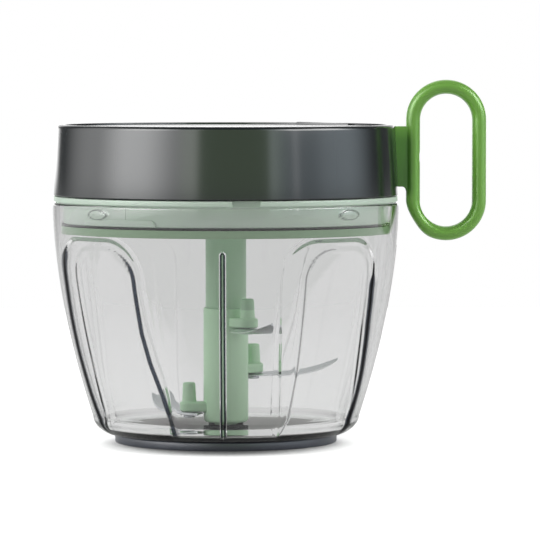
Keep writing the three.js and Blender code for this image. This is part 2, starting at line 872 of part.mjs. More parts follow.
const spindleBottom = hubFlangeBottom;
const spindleTop = coverInnerTop - seatGap;
const screwBoreTop = spindleBottom + spindleScrewLength + screwGap;
const spindle = cut(
  disc(spindleRadius, spindleBottom, spindleTop, smallSides),
  disc(spindleScrewRadius + screwGap, spindleBottom - cutOverrun, screwBoreTop, screwSides),
);
place(lid, "spindle", spindle, pinSteel);
const spindleWasherTop = spindleBottom - seatGap;
const spindleWasherBottom = spindleWasherTop - spindleWasherThickness;
place(
  lid,
  "spindle_washer",
  ring(
    spindleScrewRadius + screwGap,
    spindleWasherRadius,
    spindleWasherBottom,
    spindleWasherTop,
    smallSides,
  ),
  pinSteel,
);
const spindleHeadTop = spindleWasherBottom - seatGap;
const spindleHeadBottom = spindleHeadTop - spindleScrewHeadHeight;
const spindleScrew = join(
  disc(spindleScrewHeadRadius, spindleHeadBottom, spindleHeadTop, smallSides),
  disc(spindleScrewRadius, spindleHeadBottom, spindleBottom + spindleScrewLength, screwSides),
);
place(lid, "spindle_screw", spindleScrew, pinSteel);

// The claw hub, the clutch ring and its spring

function hexagon(radius) {
  return polygon(
    hexagonAngles.map((angle) => [
      radius * Math.cos(angle * degree),
      radius * Math.sin(angle * degree),
    ]),
  );
}

function driveHub() {
  const dogs = hubDogAngles.map((angle) =>
    sector(
      dogInnerRadius,
      dogOuterRadius,
      columnTop + dogGap,
      hubFlangeBottom + seatGap,
      angle,
      dogSpan,
    ),
  );
  const body = join(
    disc(hubFlangeRadius, hubFlangeBottom, hubFlangeTop, innerSides),
    disc(hubShaftRadius, hubFlangeTop - seatGap, hubLedge, innerSides),
    raised(hexagon(hubHexRadius), hubLedge - seatGap, clutchTop + clutchToothHeight),
    ...dogs,
  );
  const bore = disc(
    spindleRadius + runningGap,
    hubFlangeBottom - cutOverrun,
    reelBottom + cutOverrun,
    smallSides,
  );
  return cut(body, bore);
}

const drive = new THREE.Group();
lid.add(drive);
place(drive, "drive_hub", driveHub(), darkAcetal);

// One clutch tooth: upright at one end angle and sloping down to the base at the other.
function rampTooth(base, tip, uprightAngle, footAngle) {
  const corner = (radius, angle, z) =>
    new THREE.Vector3(radius * Math.cos(angle * degree), radius * Math.sin(angle * degree), z);
  const corners = [];
  for (const radius of [clutchToothInner, clutchRadius]) {
    corners.push(
      corner(radius, uprightAngle, base),
      corner(radius, uprightAngle, tip),
      corner(radius, footAngle, base),
    );
  }
  return solidFrom(new ConvexGeometry(corners));
}

const clutchTeeth = toothAngles.map((angle) =>
  rampTooth(clutchTop - seatGap, clutchTop + clutchToothHeight, angle, angle + clutchToothSpan),
);
const clutchBody = cut(
  disc(clutchRadius, clutchBottom, clutchTop, innerSides),
  raised(hexagon(hubHexRadius + runningGap), clutchBottom - cutOverrun, clutchTop + cutOverrun),
);
place(drive, "clutch_ring", join(clutchBody, ...clutchTeeth), whiteAcetal);

const clutchSpringBottom = hubLedge + seatGap;
const coilRise = clutchSpringHeight - 2 * clutchSpringWire;
const clutchSpringSteps = clutchSpringTurns * coilStepsPerTurn;
const clutchSpringLine = Array.from({ length: clutchSpringSteps + 1 }, (_, i) => {
  const angle = (fullTurn * i) / coilStepsPerTurn;
  return new THREE.Vector3(
    clutchSpringRadius * Math.cos(angle),
    clutchSpringRadius * Math.sin(angle),
    clutchSpringBottom + clutchSpringWire + (coilRise * i) / clutchSpringSteps,
  );
});
place(drive, "clutch_spring", tube(clutchSpringLine, clutchSpringWire, coilSides), springSteel);

// The reel and its cap

function cordReel() {
  const toothLag = (2 * runningGap) / clutchToothInner / degree;
  const teeth = toothAngles.map((angle) => {
    const upright = angle - toothLag;
    const base = reelBottom + seatGap;
    return rampTooth(base, reelBottom - clutchToothHeight, upright, upright - clutchToothSpan);
  });
  const bore = disc(
    spindleRadius + runningGap,
    reelBottom - cutOverrun,
    drumBottom + cutOverrun,
    smallSides,
  );
  const body = join(
    disc(reelFlangeRadius, reelBottom, drumBottom, innerSides),
    ring(
      drumRadius - drumWall,
      drumRadius,
      drumBottom - seatGap,
      drumBottom + drumHeight,
      innerSides,
    ),
    ...teeth,
  );
  return cut(body, bore);
}

const reel = new THREE.Group();
lid.add(reel);
place(reel, "cord_reel", cordReel(), darkAcetal);
const spigotOuter = drumRadius - drumWall - seatGap;
const reelCap = join(
  ring(spindleRadius + runningGap, reelFlangeRadius, reelCapBottom, reelCapTop, innerSides),
  ring(
    spigotOuter - reelSpigotWidth,
    spigotOuter,
    reelCapBottom - reelSpigotHeight,
    reelCapBottom + seatGap,
    innerSides,
  ),
);
place(reel, "reel_cap", reelCap, whiteAcetal);

// The return spring, a flat strip wound in a spiral between the spindle and the drum

const springInner = spindleRadius + 2 * seatGap;
const springOuter = drumRadius - drumWall - 2 * seatGap;
const springBottom = drumBottom + 2 * seatGap;
const springSteps = springTurns * springStepsPerTurn;
const springLine = Array.from({ length: springSteps + 1 }, (_, i) => {
  const angle = (fullTurn * i) / springStepsPerTurn;
  const radius = springInner + ((springOuter - springInner) * i) / springSteps;
  return new THREE.Vector3(radius * Math.cos(angle), radius * Math.sin(angle), springBottom);
});
const springRings = springLine.map((point) => {
  const radius = point.clone().setZ(0).length();
  const scaleTo = (r, z) => [(point.x * r) / radius, (point.y * r) / radius, z];
  const springTop = springBottom + springStripHeight;
  const inner = radius - springStripThickness / 2;
  const outer = radius + springStripThickness / 2;
  return [
    scaleTo(inner, springBottom),
    scaleTo(inner, springTop),
    scaleTo(outer, springTop),
    scaleTo(outer, springBottom),
  ];
});
place(lid, "return_spring", skinned(springRings), springSteel);

// The cord eyelet

const eyeletOuterX = coverSideRadius(cordHeight) - seatGap;
const eyeletFlangeX = coverSideRadius(cordHeight) - coverWall - seatGap - eyeletFlangeThickness;
const eyeletProfile = [
  [eyeletBoreRadius, eyeletFlangeX - seatGap],
  [eyeletFlangeRadius, eyeletFlangeX - seatGap],
  [eyeletFlangeRadius, eyeletFlangeX + eyeletFlangeThickness - seatGap],
  [eyeletRadius, eyeletFlangeX + eyeletFlangeThickness - seatGap],
  [eyeletRadius, eyeletOuterX],
  [eyeletBoreRadius, eyeletOuterX],
  [eyeletBoreRadius, eyeletFlangeX - seatGap],
];
const eyelet = place(lid, "cord_eyelet", turned(eyeletProfile, smallSides), whiteAcetal);
eyelet.rotation.y = quarterTurn;
eyelet.position.z = cordHeight;

// The pull handle

const handle = new THREE.Group();
chopper.add(handle);
const handleLeft = coverRadius + neckLength;
const handleCentreX = handleLeft + handleWidth / 2;
const handleCentreZ = coverTop - handleCentreDrop;

// A stadium outline, upright, about the origin.
function stadium(path, width, length) {
  const radius = width / 2;
  const straight = (length - width) / 2;
  path.absarc(0, straight, radius, 0, Math.PI, false);
  path.absarc(0, -straight, radius, Math.PI, fullTurn, false);
  path.closePath();
  return path;
}

function pullHandle() {
  const outline = stadium(new THREE.Shape(), handleWidth, handleLength);
  const hole = stadium(new THREE.Path(), handleWidth - 2 * handleBar, handleLength - 2 * handleBar);
  outline.holes.push(hole);
  const settings = {
    depth: handleThickness - 2 * handleEdgeRound,
    bevelEnabled: true,
    bevelThickness: handleEdgeRound,
    bevelSize: handleEdgeRound,
    bevelOffset: -handleEdgeRound,
    bevelSegments: cornerSteps - 1,
    curveSegments: handleArcSides,
  };
  const loopGeometry = new THREE.ExtrudeGeometry(outline, settings);
  loopGeometry.translate(0, 0, handleEdgeRound - handleThickness / 2).rotateX(quarterTurn);
  loopGeometry.translate(handleCentreX, 0, handleCentreZ);
  const neckLeft = coverTopRadius - coverEdgeRound;
  const neckRight = handleLeft + handleBar - handleEdgeRound;
  const neckTop = cordHeight + neckHeight / 2;
  const neckBottom = cordHeight - neckHeight / 2;
  const neckOutline = new THREE.Shape();
  const filletX = handleLeft - neckFillet;
  neckOutline.moveTo(neckLeft, neckBottom);
  neckOutline.lineTo(filletX, neckBottom);
  neckOutline.absarc(filletX, neckBottom - neckFillet, neckFillet, quarterTurn, 0, true);
  neckOutline.lineTo(neckRight, neckBottom - neckFillet);
  neckOutline.lineTo(neckRight, neckTop);
  neckOutline.lineTo(neckLeft, neckTop);
  neckOutline.closePath();
  const neckGeometry = new THREE.ExtrudeGeometry(neckOutline, {
    depth: neckThickness,
    bevelEnabled: false,
    curveSegments: cornerSteps,
  });
  neckGeometry.translate(0, 0, -neckThickness / 2).rotateX(quarterTurn);
  const lidRoom = turned([
    [0, coverBottom - cutOverrun],
    [coverRadius + seatGap, coverBottom - cutOverrun],
    [coverRadius + seatGap, coverBottom],
    [coverTopRadius + seatGap, coverRimTop],
    [coverTopRadius + seatGap, coverRimTop + cutOverrun],
    [0, coverRimTop + cutOverrun],
  ]);
  const round = (radius, from, to) =>
    pushedOut(
      new THREE.Shape().absarc(0, cordHeight, radius, 0, fullTurn, false),
      from,
      to,
      0,
      screwSides / 2,
    );
  const cordBore = round(eyeletBoreRadius, neckLeft - cutOverrun, neckRight);
  const pocket = round(plugRadius + seatGap, pocketLeft, handleLeft + handleBar + cutOverrun);
  const body = solidFrom(loopGeometry).add(solidFrom(neckGeometry));
  return cut(body, lidRoom, cordBore, pocket);
}

const pocketRight = handleLeft + handleBar;
const plugRight = pocketRight - seatGap;
const ferruleRight = plugRight - plugThickness - seatGap;
const ferruleLeft = ferruleRight - ferruleLength;
const pocketLeft = ferruleLeft - seatGap;
place(handle, "pull_handle", pullHandle(), handleGreen);

// A round piece on the cord's line, from one X to another.
function onCordLine(name, radius, from, to, material, parent) {
  const mesh = place(parent, name, disc(radius, from, to, smallSides), material);
  mesh.rotation.y = quarterTurn;
  mesh.position.z = cordHeight;
}
onCordLine("handle_plug", plugRadius, plugRight - plugThickness, plugRight, handleGreen, handle);
onCordLine("cord_ferrule", ferruleRadius, ferruleLeft, ferruleRight, brass, handle);

// The pull cord: wound on the drum, then straight to the eyelet and into the handle

const leadEnd = eyeletFlangeX - 2 * cordRadius;
const tangentAngle = -Math.acos(cordCircle / leadEnd);
const windingMiddle = (drumBottom + reelCapBottom) / 2;
const windingTop = windingMiddle + (cordSpacing * cordTurns) / 2;
const windingSteps = cordTurns * cordStepsPerTurn;
const windingLine = Array.from({ length: windingSteps + 1 }, (_, i) => {
  const left = windingSteps - i;
  const angle = tangentAngle - (fullTurn * left) / cordStepsPerTurn;
  const z = windingTop - (cordSpacing * left) / cordStepsPerTurn;
  return new THREE.Vector3(cordCircle * Math.cos(angle), cordCircle * Math.sin(angle), z);
});
const leaving = windingLine[windingLine.length - 1];
const guideStart = new THREE.Vector3(leadEnd, 0, cordHeight);
const leadSteps = 5;
const leadLine = Array.from({ length: leadSteps }, (_, i) =>
  leaving.clone().lerp(guideStart, (i + 1) / leadSteps),
);
const straightLine = [eyeletFlangeX, eyeletOuterX, ferruleLeft - seatGap].map(
  (x) => new THREE.Vector3(x, 0, cordHeight),
);
const cordLine = [...windingLine, ...leadLine, ...straightLine];
place(lid, "pull_cord", tube(cordLine, cordRadius, cordSides), cordFibre);

const report = (name, gap) => console.log(`${name}: least gap to itself ${gap.toFixed(2)} mm`);
report("pull_cord", leastGap(windingLine, cordStepsPerTurn, 2 * cordRadius));
report("return_spring", leastGap(springLine, springStepsPerTurn, springStripThickness));
report("clutch_spring", leastGap(clutchSpringLine, coilStepsPerTurn, 2 * clutchSpringWire));

export default chopper;
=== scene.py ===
import math

import bmesh
import bpy
import numpy as np
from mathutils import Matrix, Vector


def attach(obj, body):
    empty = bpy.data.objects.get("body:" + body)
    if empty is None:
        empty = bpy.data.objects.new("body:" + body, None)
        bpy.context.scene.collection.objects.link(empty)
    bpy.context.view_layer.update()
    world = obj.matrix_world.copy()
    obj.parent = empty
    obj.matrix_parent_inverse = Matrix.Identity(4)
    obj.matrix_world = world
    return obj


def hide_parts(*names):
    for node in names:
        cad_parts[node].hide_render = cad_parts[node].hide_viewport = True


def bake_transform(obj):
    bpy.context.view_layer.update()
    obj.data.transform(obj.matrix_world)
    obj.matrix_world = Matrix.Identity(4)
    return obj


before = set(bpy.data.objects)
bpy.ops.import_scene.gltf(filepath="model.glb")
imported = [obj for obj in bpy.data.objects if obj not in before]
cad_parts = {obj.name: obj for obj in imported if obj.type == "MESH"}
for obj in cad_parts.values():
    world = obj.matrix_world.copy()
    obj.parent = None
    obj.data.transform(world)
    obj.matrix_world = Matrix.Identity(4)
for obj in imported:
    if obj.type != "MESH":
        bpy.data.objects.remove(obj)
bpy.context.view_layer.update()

mm = 0.001
fullTurn = 2 * math.pi
quarterTurn = math.pi / 2


class Values(dict):
    # a dictionary whose values also read as attributes
    __getattr__ = dict.__getitem__


# Camera, floor and light

photoView = Values(eye=(0.0, -1450.0, 141.0), target=(16.7, 0.0, 64.8), sensor=36, lens=255.7)


def placed(name, data):
    thing = bpy.data.objects.new(name, data)
    bpy.context.scene.collection.objects.link(thing)
    return thing


def aimed(thing, where, way, forward):
    thing.location = where
    thing.rotation_mode = "QUATERNION"
    thing.rotation_quaternion = way.to_track_quat(forward, "Y")


def makeCamera():
    data = bpy.data.cameras.new("photoCamera")
    data.lens, data.sensor_width = photoView.lens, photoView.sensor
    data.clip_start, data.clip_end = 0.05, 60
    camera = placed("photoCamera", data)
    eye = Vector(photoView.eye) * mm
    aimed(camera, eye, Vector(photoView.target) * mm - eye, "-Z")
    bpy.context.scene.camera = camera
    bpy.context.scene.view_settings.view_transform = "Standard"


makeCamera()


def ink(red, green, blue):
    # screen values from 0 to 255, as the linear colour that a shader takes
    parts = [value / 255 for value in (red, green, blue)]
    return (*[p / 12.92 if p <= 0.04045 else ((p + 0.055) / 1.055) ** 2.4 for p in parts], 1)


class Signal:
    # a node's output that is reckoned with like a number
    def __init__(self, tree, socket):
        self.tree, self.socket = tree, socket

    def __add__(self, other):
        return maths(self.tree, "ADD", self, other)

    def __sub__(self, other):
        return maths(self.tree, "SUBTRACT", self, other)

    def __rsub__(self, other):
        return maths(self.tree, "SUBTRACT", other, self)

    def __mul__(self, other):
        return maths(self.tree, "MULTIPLY", self, other)

    __radd__ = __add__
    __rmul__ = __mul__

    def capped(self):
        self.socket.node.use_clamp = True
        return self


def node(tree, kind, **settings):
    made = tree.nodes.new("ShaderNode" + kind)
    for name, value in settings.items():
        setattr(made, name, value)
    return made


def feed(tree, slot, value):
    value = getattr(value, "socket", value)
    if isinstance(value, bpy.types.NodeSocket):
        tree.links.new(value, slot)
    else:
        slot.default_value = value


def feedInTurn(tree, made, values):
    for slot, value in zip(made.inputs, values):
        feed(tree, slot, value)
    return made


def fill(tree, made, **values):
    for title, value in values.items():
        feed(tree, made.inputs[title.replace("_", " ")], value)
    return made


def outputs(tree, made):
    return {socket.name: Signal(tree, socket) for socket in made.outputs}


def maths(tree, operation, *values):
    made = feedInTurn(tree, node(tree, "Math", operation=operation), values)
    return Signal(tree, made.outputs[0])


def eased(value, low, high, toLow=0.0, toHigh=1.0):
    made = node(value.tree, "MapRange", interpolation_type="SMOOTHSTEP")
    feedInTurn(value.tree, made, (value, low, high, toLow, toHigh))
    return Signal(value.tree, made.outputs["Result"])


def mixedColor(tree, share, first, second, blend="MIX"):
    made = node(tree, "Mix", data_type="RGBA", blend_type=blend)
    for index, value in ((0, share), (6, first), (7, second)):
        feed(tree, made.inputs[index], value)
    return made.outputs[2]


def place(tree, space="Object"):
    parts = feedInTurn(tree, node(tree, "SeparateXYZ"), [node(tree, "TexCoord").outputs[space]])
    return outputs(tree, parts).values()


def greyOf(tree, level):
    return feedInTurn(tree, node(tree, "CombineXYZ"), [level] * 3).outputs[0]


def startTree(owner):
    owner.use_nodes = True
    owner.node_tree.nodes.clear()
    return owner.node_tree


studio = Values(
    floorSize=1.6, floorColor=(0.74, 0.74, 0.74, 1), floorShadow=(0.06, 0.06, 0.065, 1),
    floorLift=0.72,  # keeps the floor white to the camera without more light on the object
    floorLiftThrough=0.2, contactReach=0.026, contactSamples=16, contactRange=(0.3, 0.66),
    contactSide=(0.0, 0.95, 0.3),  # the front is the side with the deepest shadow
    fillLevel=0.55,
    frontFill=0.84,  # the front of the room is darker
    backLevel=1.0, throughLevel=0.71,
    throughSides=1.25,  # the wall behind, as seen through the bowl
    horizonTop=0.018, backdrop=(2.4, 2.4, 2.4, 1), table=(0.7, 0.7, 0.7, 1), room=(0.12, 0.12, 0.12, 1),
    panelTop=(0.62, 0.8),  # the sine of the height where the panels end
    ceiling=(0.12, 0.12, 0.12, 1),
    panelFoot=(0.0, -0.12),  # and where they fade into the table
)

# what shiny surfaces see: azimuth from the front to the right, from edge to edge, soft edges, all in degrees
mirrorPanels = {
    "keyLeft": Values(span=(-92, -21), soft=(50, 5), level=2.95),
    "keyHeart": Values(span=(-68, -60), soft=(30, 34), level=5.2),
    "greenFront": Values(span=(-24, 30), soft=(12, 16), color=(0.75, 1.0, 0.62), level=1.1),
    "cardRight": Values(span=(29.5, 34), soft=(1.5, 2), level=0.5),
    "stripRight": Values(span=(46.5, 49), soft=(1.5, 1.5), color=(1.0, 0.98, 0.98), level=1.7),
    "coolRight": Values(span=(30, 88), soft=(2, 34), color=(0.86, 0.98, 1.06), level=1.65),
    "coolFar": Values(span=(74, 84), soft=(16, 34), color=(0.86, 0.98, 1.06), level=0.8),
    "highRight": Values(span=(52, 84), soft=(22, 22), height=(0.16, 0.34), color=(1.0, 0.98, 0.96), level=9.0),
    "highLeft": Values(span=(-70, -50), soft=(20, 20), height=(0.16, 0.34), color=(1.0, 0.98, 0.96), level=3.0),
    "wallRight": Values(span=(168, 181), soft=(12, 1), level=0.9),
    "wallLeft": Values(span=(-181, -168), soft=(1, 12), level=0.9),
}


def makeWorld():
    world = bpy.data.worlds.new("studioWorld")
    bpy.context.scene.world = world
    tree = startTree(world)
    rays = outputs(tree, node(tree, "LightPath"))
    seenRay, bentRay = rays["Is Camera Ray"], rays["Is Transmission Ray"]
    mirrorRay = rays["Is Glossy Ray"] * (1.0 - bentRay)
    x, y, z = place(tree, "Generated")
    azimuth = maths(tree, "DEGREES", maths(tree, "ARCTAN2", x, y * -1.0))
    mirror = studio.room
    for panel in mirrorPanels.values():
        low, high = panel.span
        share = eased(azimuth, low - panel.soft[0], low) * eased(azimuth, high, high + panel.soft[1], 1.0, 0.0)
        if "height" in panel:
            share = share * eased(z, *panel.height)
        glow = (*[value * panel.level for value in panel.get("color", (1.0, 1.0, 1.0))], 1)
        mirror = mixedColor(tree, share, mirror, glow, "ADD")
    mirror = mixedColor(tree, eased(z, *studio.panelTop), mirror, studio.ceiling)
    aboveHorizon = maths(tree, "ABSOLUTE", z - studio.horizonTop)
    backdrop = eased(aboveHorizon, 0.03, 0.06, 1.0, 0.0) * eased(y, 0.86, 0.97)
    mirror = mixedColor(tree, backdrop, mirror, studio.backdrop)
    mirror = mixedColor(tree, eased(z, *studio.panelFoot), mirror, studio.table)
    light = studio.fillLevel * (1.0 - eased(y, -0.2, -0.9, 0.0, studio.frontFill))
    other = (1.0 - (seenRay + bentRay + mirrorRay)).capped()
    wall = eased(maths(tree, "ABSOLUTE", x), 0.35, 0.9, studio.throughLevel, studio.throughSides)
    level = greyOf(tree, seenRay * studio.backLevel + other * light + bentRay * wall)
    background = fill(tree, node(tree, "Background"), Color=mixedColor(tree, mirrorRay, level, mirror))
    fill(tree, node(tree, "OutputWorld"), Surface=background.outputs[0])


def makeFloor():
    mesh = bpy.data.meshes.new("studioFloor")
    half = studio.floorSize / 2
    corners = [(-half, -half, 0), (half, -half, 0), (half, half, 0), (-half, half, 0)]
    mesh.from_pydata(corners, [], [(0, 1, 2, 3)])
    floor = placed("studioFloor", mesh)
    material = bpy.data.materials.new("studioFloor")
    tree = startTree(material)
    rays = outputs(tree, node(tree, "LightPath"))
    # the floor darkens where the foot and the bowl stand close over it
    side = feedInTurn(tree, node(tree, "CombineXYZ"), studio.contactSide)
    near = node(tree, "AmbientOcclusion", samples=studio.contactSamples)
    fill(tree, near, Distance=studio.contactReach, Normal=side.outputs[0])
    clear = eased(outputs(tree, near)["AO"], *studio.contactRange)
    through = maths(tree, "MAXIMUM", rays["Is Glossy Ray"], rays["Is Transmission Ray"])
    lift = rays["Is Camera Ray"] * clear * studio.floorLift + through * studio.floorLiftThrough
    color = mixedColor(tree, clear, studio.floorShadow, studio.floorColor)
    diffuse = fill(tree, node(tree, "BsdfDiffuse"), Color=color)
    glow = fill(tree, node(tree, "Emission"), Strength=lift)
    both = feedInTurn(tree, node(tree, "AddShader"), [diffuse.outputs[0], glow.outputs[0]])
    fill(tree, node(tree, "OutputMaterial"), Surface=both.outputs[0])
    mesh.materials.append(material)


# azimuth is counted from the front to the right, in degrees; sizes in metres
softboxes = {
    "keyLeft": Values(azimuth=-76, elevation=24, distance=1.6, size=0.9, level=3.1),
    "fillRight": Values(azimuth=76, elevation=22, distance=1.7, size=0.9, level=2.5),
    "topSoft": Values(azimuth=0, elevation=84, distance=1.6, size=1.6, level=0.7),
}
aimHeight = 0.07


def makeSoftbox(name, box):
    light = bpy.data.lights.new(name, "AREA")
    light.shape = "RECTANGLE"
    light.size = light.size_y = box.size
    light.energy = box.level * math.pi * box.size * box.size
    lamp = placed(name, light)
    azimuth, elevation = math.radians(box.azimuth), math.radians(box.elevation)
    flat = math.cos(elevation)
    way = Vector((math.sin(azimuth) * flat, -math.cos(azimuth) * flat, math.sin(elevation)))
    aimed(lamp, way * box.distance + Vector((0, 0, aimHeight)), way, "Z")
    lamp.visible_camera = lamp.visible_transmission = lamp.visible_glossy = False


makeWorld()
makeFloor()
for softboxName, softbox in softboxes.items():
    makeSoftbox(softboxName, softbox)
print("camera, floor and light ready")

# Shader groups that several finishes share

groups = {}


def startGroup(name, inputs, outputTitles):
    group = groups[name] = bpy.data.node_groups.new(name, "ShaderNodeTree")
    for title, value in inputs.items():
        kind = "NodeSocketColor" if isinstance(value, tuple) else "NodeSocketFloat"
        group.interface.new_socket(name=title, in_out="INPUT", socket_type=kind).default_value = value
    for title in outputTitles:
        kind = "NodeSocketColor" if title == "Color" else "NodeSocketFloat"
        group.interface.new_socket(name=title, in_out="OUTPUT", socket_type=kind)
    given = group.nodes.new("NodeGroupInput")
    return group, outputs(group, given), group.nodes.new("NodeGroupOutput")


def stretched(tree, scale):
    mapping = node(tree, "Mapping")
    fill(tree, mapping, Vector=node(tree, "TexCoord").outputs["Object"], Scale=scale)
    return mapping.outputs["Vector"]


def noise(tree, scale, detail=2.0, roughness=0.5, where=None):
    if where is None:
        where = node(tree, "TexCoord").outputs["Object"]
    made = fill(tree, node(tree, "TexNoise"), Vector=where, Scale=scale, Detail=detail, Roughness=roughness)
    return outputs(tree, made)["Fac"]


def makeMouldSkin():
    # the eroded skin of an injection mould, and how its gloss changes from place to place
    group, given, out = startGroup(
        "mouldSkin", {"Grain Size": 2600.0, "Roughness": 0.4, "Gloss Change": 0.08}, ["Height", "Roughness"]
    )
    grain = noise(group, given["Grain Size"], 3.0, 0.6)
    flow = noise(group, 45.0, 3.0, 0.55)
    change = (flow - 0.5) * given["Gloss Change"] + (grain - 0.5) * given["Gloss Change"]
    fill(group, out, Height=grain, Roughness=(given["Roughness"] + change).capped())


def makeColorDrift():
    # slow and fine changes in a pigment's depth
    inputs = {"Color": (0.5, 0.5, 0.5, 1), "Amount": 0.1, "Size": 30.0}
    group, given, out = startGroup("colorDrift", inputs, ["Color"])
    slow = noise(group, given["Size"], 3.0)
    speck = noise(group, given["Size"] * 55.0, 1.0)
    swing = (slow * 0.75 + speck * 0.25 - 0.5) * given["Amount"]
    level = greyOf(group, 1.0 + swing * 2.0)
    fill(group, out, Color=mixedColor(group, 1.0, given["Color"], level, "MULTIPLY"))


def makeHairlines():
    # faint scuffs from wiping and from the drawer, in two directions
    group, given, out = startGroup("hairlines", {"Amount": 0.5}, ["Mask"])
    first = noise(group, 60.0, 4.0, 0.7, stretched(group, (1.0, 14.0, 22.0)))
    second = noise(group, 60.0, 4.0, 0.7, stretched(group, (18.0, 3.0, 1.0)))
    lines = maths(group, "MAXIMUM", eased(first, 0.66, 0.74), eased(second, 0.68, 0.76))
    patches = eased(noise(group, 28.0), 0.45, 0.7)
    fill(group, out, Mask=lines * patches * given["Amount"])


def makeTurningMarks():
    # rings left by turning about the upright axis, and feed lines up the side
    group, given, out = startGroup("turningMarks", {"Pitch": 0.00018, "Grip": 0.1}, ["Height", "Roughness"])
    x, y, z = place(group)
    travel = maths(group, "SQRT", x * x + y * y) + z
    wave = maths(group, "SINE", maths(group, "DIVIDE", travel * fullTurn, given["Pitch"]))
    worn = noise(group, 400.0, 3.0)
    fill(group, out, Height=wave * worn, Roughness=(0.28 + (worn - 0.5) * given["Grip"]).capped())


makeMouldSkin()
makeColorDrift()
makeHairlines()
makeTurningMarks()
print("shader groups ready")

finishes = {}


def useGroup(tree, name, **values):
    return outputs(tree, fill(tree, node(tree, "Group", node_tree=groups[name]), **values))


def startFinish(name):
    material = finishes[name] = bpy.data.materials.new(name)
    tree = startTree(material)
    out = node(tree, "OutputMaterial")
    shader = node(tree, "BsdfPrincipled")
    fill(tree, out, Surface=shader.outputs[0])
    return tree, shader, out


def bumped(tree, height, depth):
    return fill(tree, node(tree, "Bump"), Height=height, Distance=depth * mm, Strength=1.0).outputs["Normal"]


def painted(tree, title):
    return outputs(tree, node(tree, "Attribute", attribute_name=title))["Fac"]


def mouldedPlastic(name, look):
    tree, shader, _ = startFinish(name)
    color = look.color
    # painted shade: a finish that has a deep colour is coloured darker over the given spans of place
    if "deep" in look:
        heights = dict(zip("xyz", place(tree)))
        share = 1.0
        for axis, *span in look.deepWhere:
            share = share * eased(heights[axis], *span)
        color = mixedColor(tree, share, color, look.deep)
    drift = useGroup(tree, "colorDrift", Color=color, Amount=look.drift, Size=look.driftSize)
    skin = useGroup(
        tree, "mouldSkin", Grain_Size=look.grain, Roughness=look.roughness, Gloss_Change=look.glossChange
    )
    scuffs = useGroup(tree, "hairlines", Amount=look.scuffs)["Mask"] * 0.25
    fill(
        tree, shader, Base_Color=mixedColor(tree, scuffs, drift["Color"], look.worn), IOR=look.get("ior", 1.5),
        Roughness=(skin["Roughness"] + scuffs).capped(), Normal=bumped(tree, skin["Height"], look.grainDepth),
    )
    if "depth" in look:
        fill(tree, shader, Subsurface_Weight=look.depth, Subsurface_Radius=(0.6, 1.0, 0.6))
        fill(tree, shader, Subsurface_Scale=1.2 * mm)


def turnedMetal(name, look):
    tree, shader, _ = startFinish(name)
    marks = useGroup(tree, "turningMarks", Pitch=look.pitch * mm, Grip=look.grip)
    drift = useGroup(tree, "colorDrift", Color=look.color, Amount=look.drift, Size=120.0)
    scuffs = useGroup(tree, "hairlines", Amount=look.scuffs)["Mask"]
    fill(
        tree, shader, Base_Color=drift["Color"], Roughness=(marks["Roughness"] + scuffs * 0.2).capped(),
        Normal=bumped(tree, marks["Height"], look.markDepth), Metallic=1.0,
    )


plasticKeys = "color worn drift driftSize grain grainDepth roughness glossChange scuffs".split()
plasticRows = {
    "charcoalGloss": (ink(30, 35, 37), ink(56, 62, 64), 0.05, 20.0, 3200.0, 0.0012, 0.16, 0.03, 0.25),
    "paleMint": (ink(214, 232, 216), ink(225, 236, 226), 0.04, 25.0, 2800.0, 0.004, 0.4, 0.08, 0.3),
    "postMint": (ink(200, 236, 200), ink(205, 225, 205), 0.05, 30.0, 2600.0, 0.004, 0.38, 0.1, 0.35),
    "handleGreen": (ink(128, 188, 78), ink(150, 196, 116), 0.05, 24.0, 2400.0, 0.0002, 0.31, 0.03, 0.04),
    "whiteAcetal": (ink(226, 228, 222), ink(200, 200, 190), 0.04, 60.0, 2600.0, 0.003, 0.42, 0.1, 0.4),
    "darkAcetal": (ink(44, 48, 51), ink(90, 92, 94), 0.08, 60.0, 2600.0, 0.003, 0.42, 0.1, 0.5),
    # painted shade: pale mint coloured darker, as in shade
    "sealLip": (ink(150, 182, 146), ink(150, 170, 148), 0.05, 20.0, 1800.0, 0.002, 0.42, 0.05, 0.1),
    "darkRubber": (ink(24, 27, 30), ink(70, 73, 76), 0.1, 80.0, 1900.0, 0.01, 0.6, 0.12, 0.3),
    "footRubber": (ink(84, 88, 97), ink(104, 108, 116), 0.08, 50.0, 1900.0, 0.003, 0.3, 0.06, 0.3),
}
plasticExtras = {
    "paleMint": {"depth": 0.15},
    # painted shade: the post is coloured darker above its step, where the lid shades it
    "postMint": {"depth": 0.1, "deep": ink(172, 208, 174), "deepWhere": [("z", 0.0503, 0.0509, 0.0, 1.0)]},
    # painted shade: the neck between lid and loop is coloured darker, as the lid and loop shade it
    "handleGreen": {
        "depth": 0.1, "ior": 1.52, "deep": ink(84, 142, 52), "deepWhere": [
            ("x", 0.0686, 0.0722, 1.0, 0.0), ("z", 0.0915, 0.0965, 0.0, 1.0), ("z", 0.1125, 0.1205, 1.0, 0.2),
        ],
    },
    "whiteAcetal": {"depth": 0.2},
}
metalKeys = "color drift pitch grip markDepth scuffs".split()
metalRows = {
    "pinSteel": (ink(182, 185, 189), 0.05, 0.2, 0.12, 0.004, 0.5),
    "brass": (ink(196, 166, 98), 0.08, 0.25, 0.15, 0.004, 0.5),
    "springSteel": (ink(150, 154, 160), 0.1, 0.4, 0.2, 0.002, 0.3),
}
for finishName, row in plasticRows.items():
    mouldedPlastic(finishName, Values(zip(plasticKeys, row), **plasticExtras.get(finishName, {})))
for finishName, row in metalRows.items():
    turnedMetal(finishName, Values(zip(metalKeys, row)))

bladeLook = Values(color=ink(214, 217, 220), ground=ink(226, 228, 230), roughness=0.34, lineDepth=0.003)


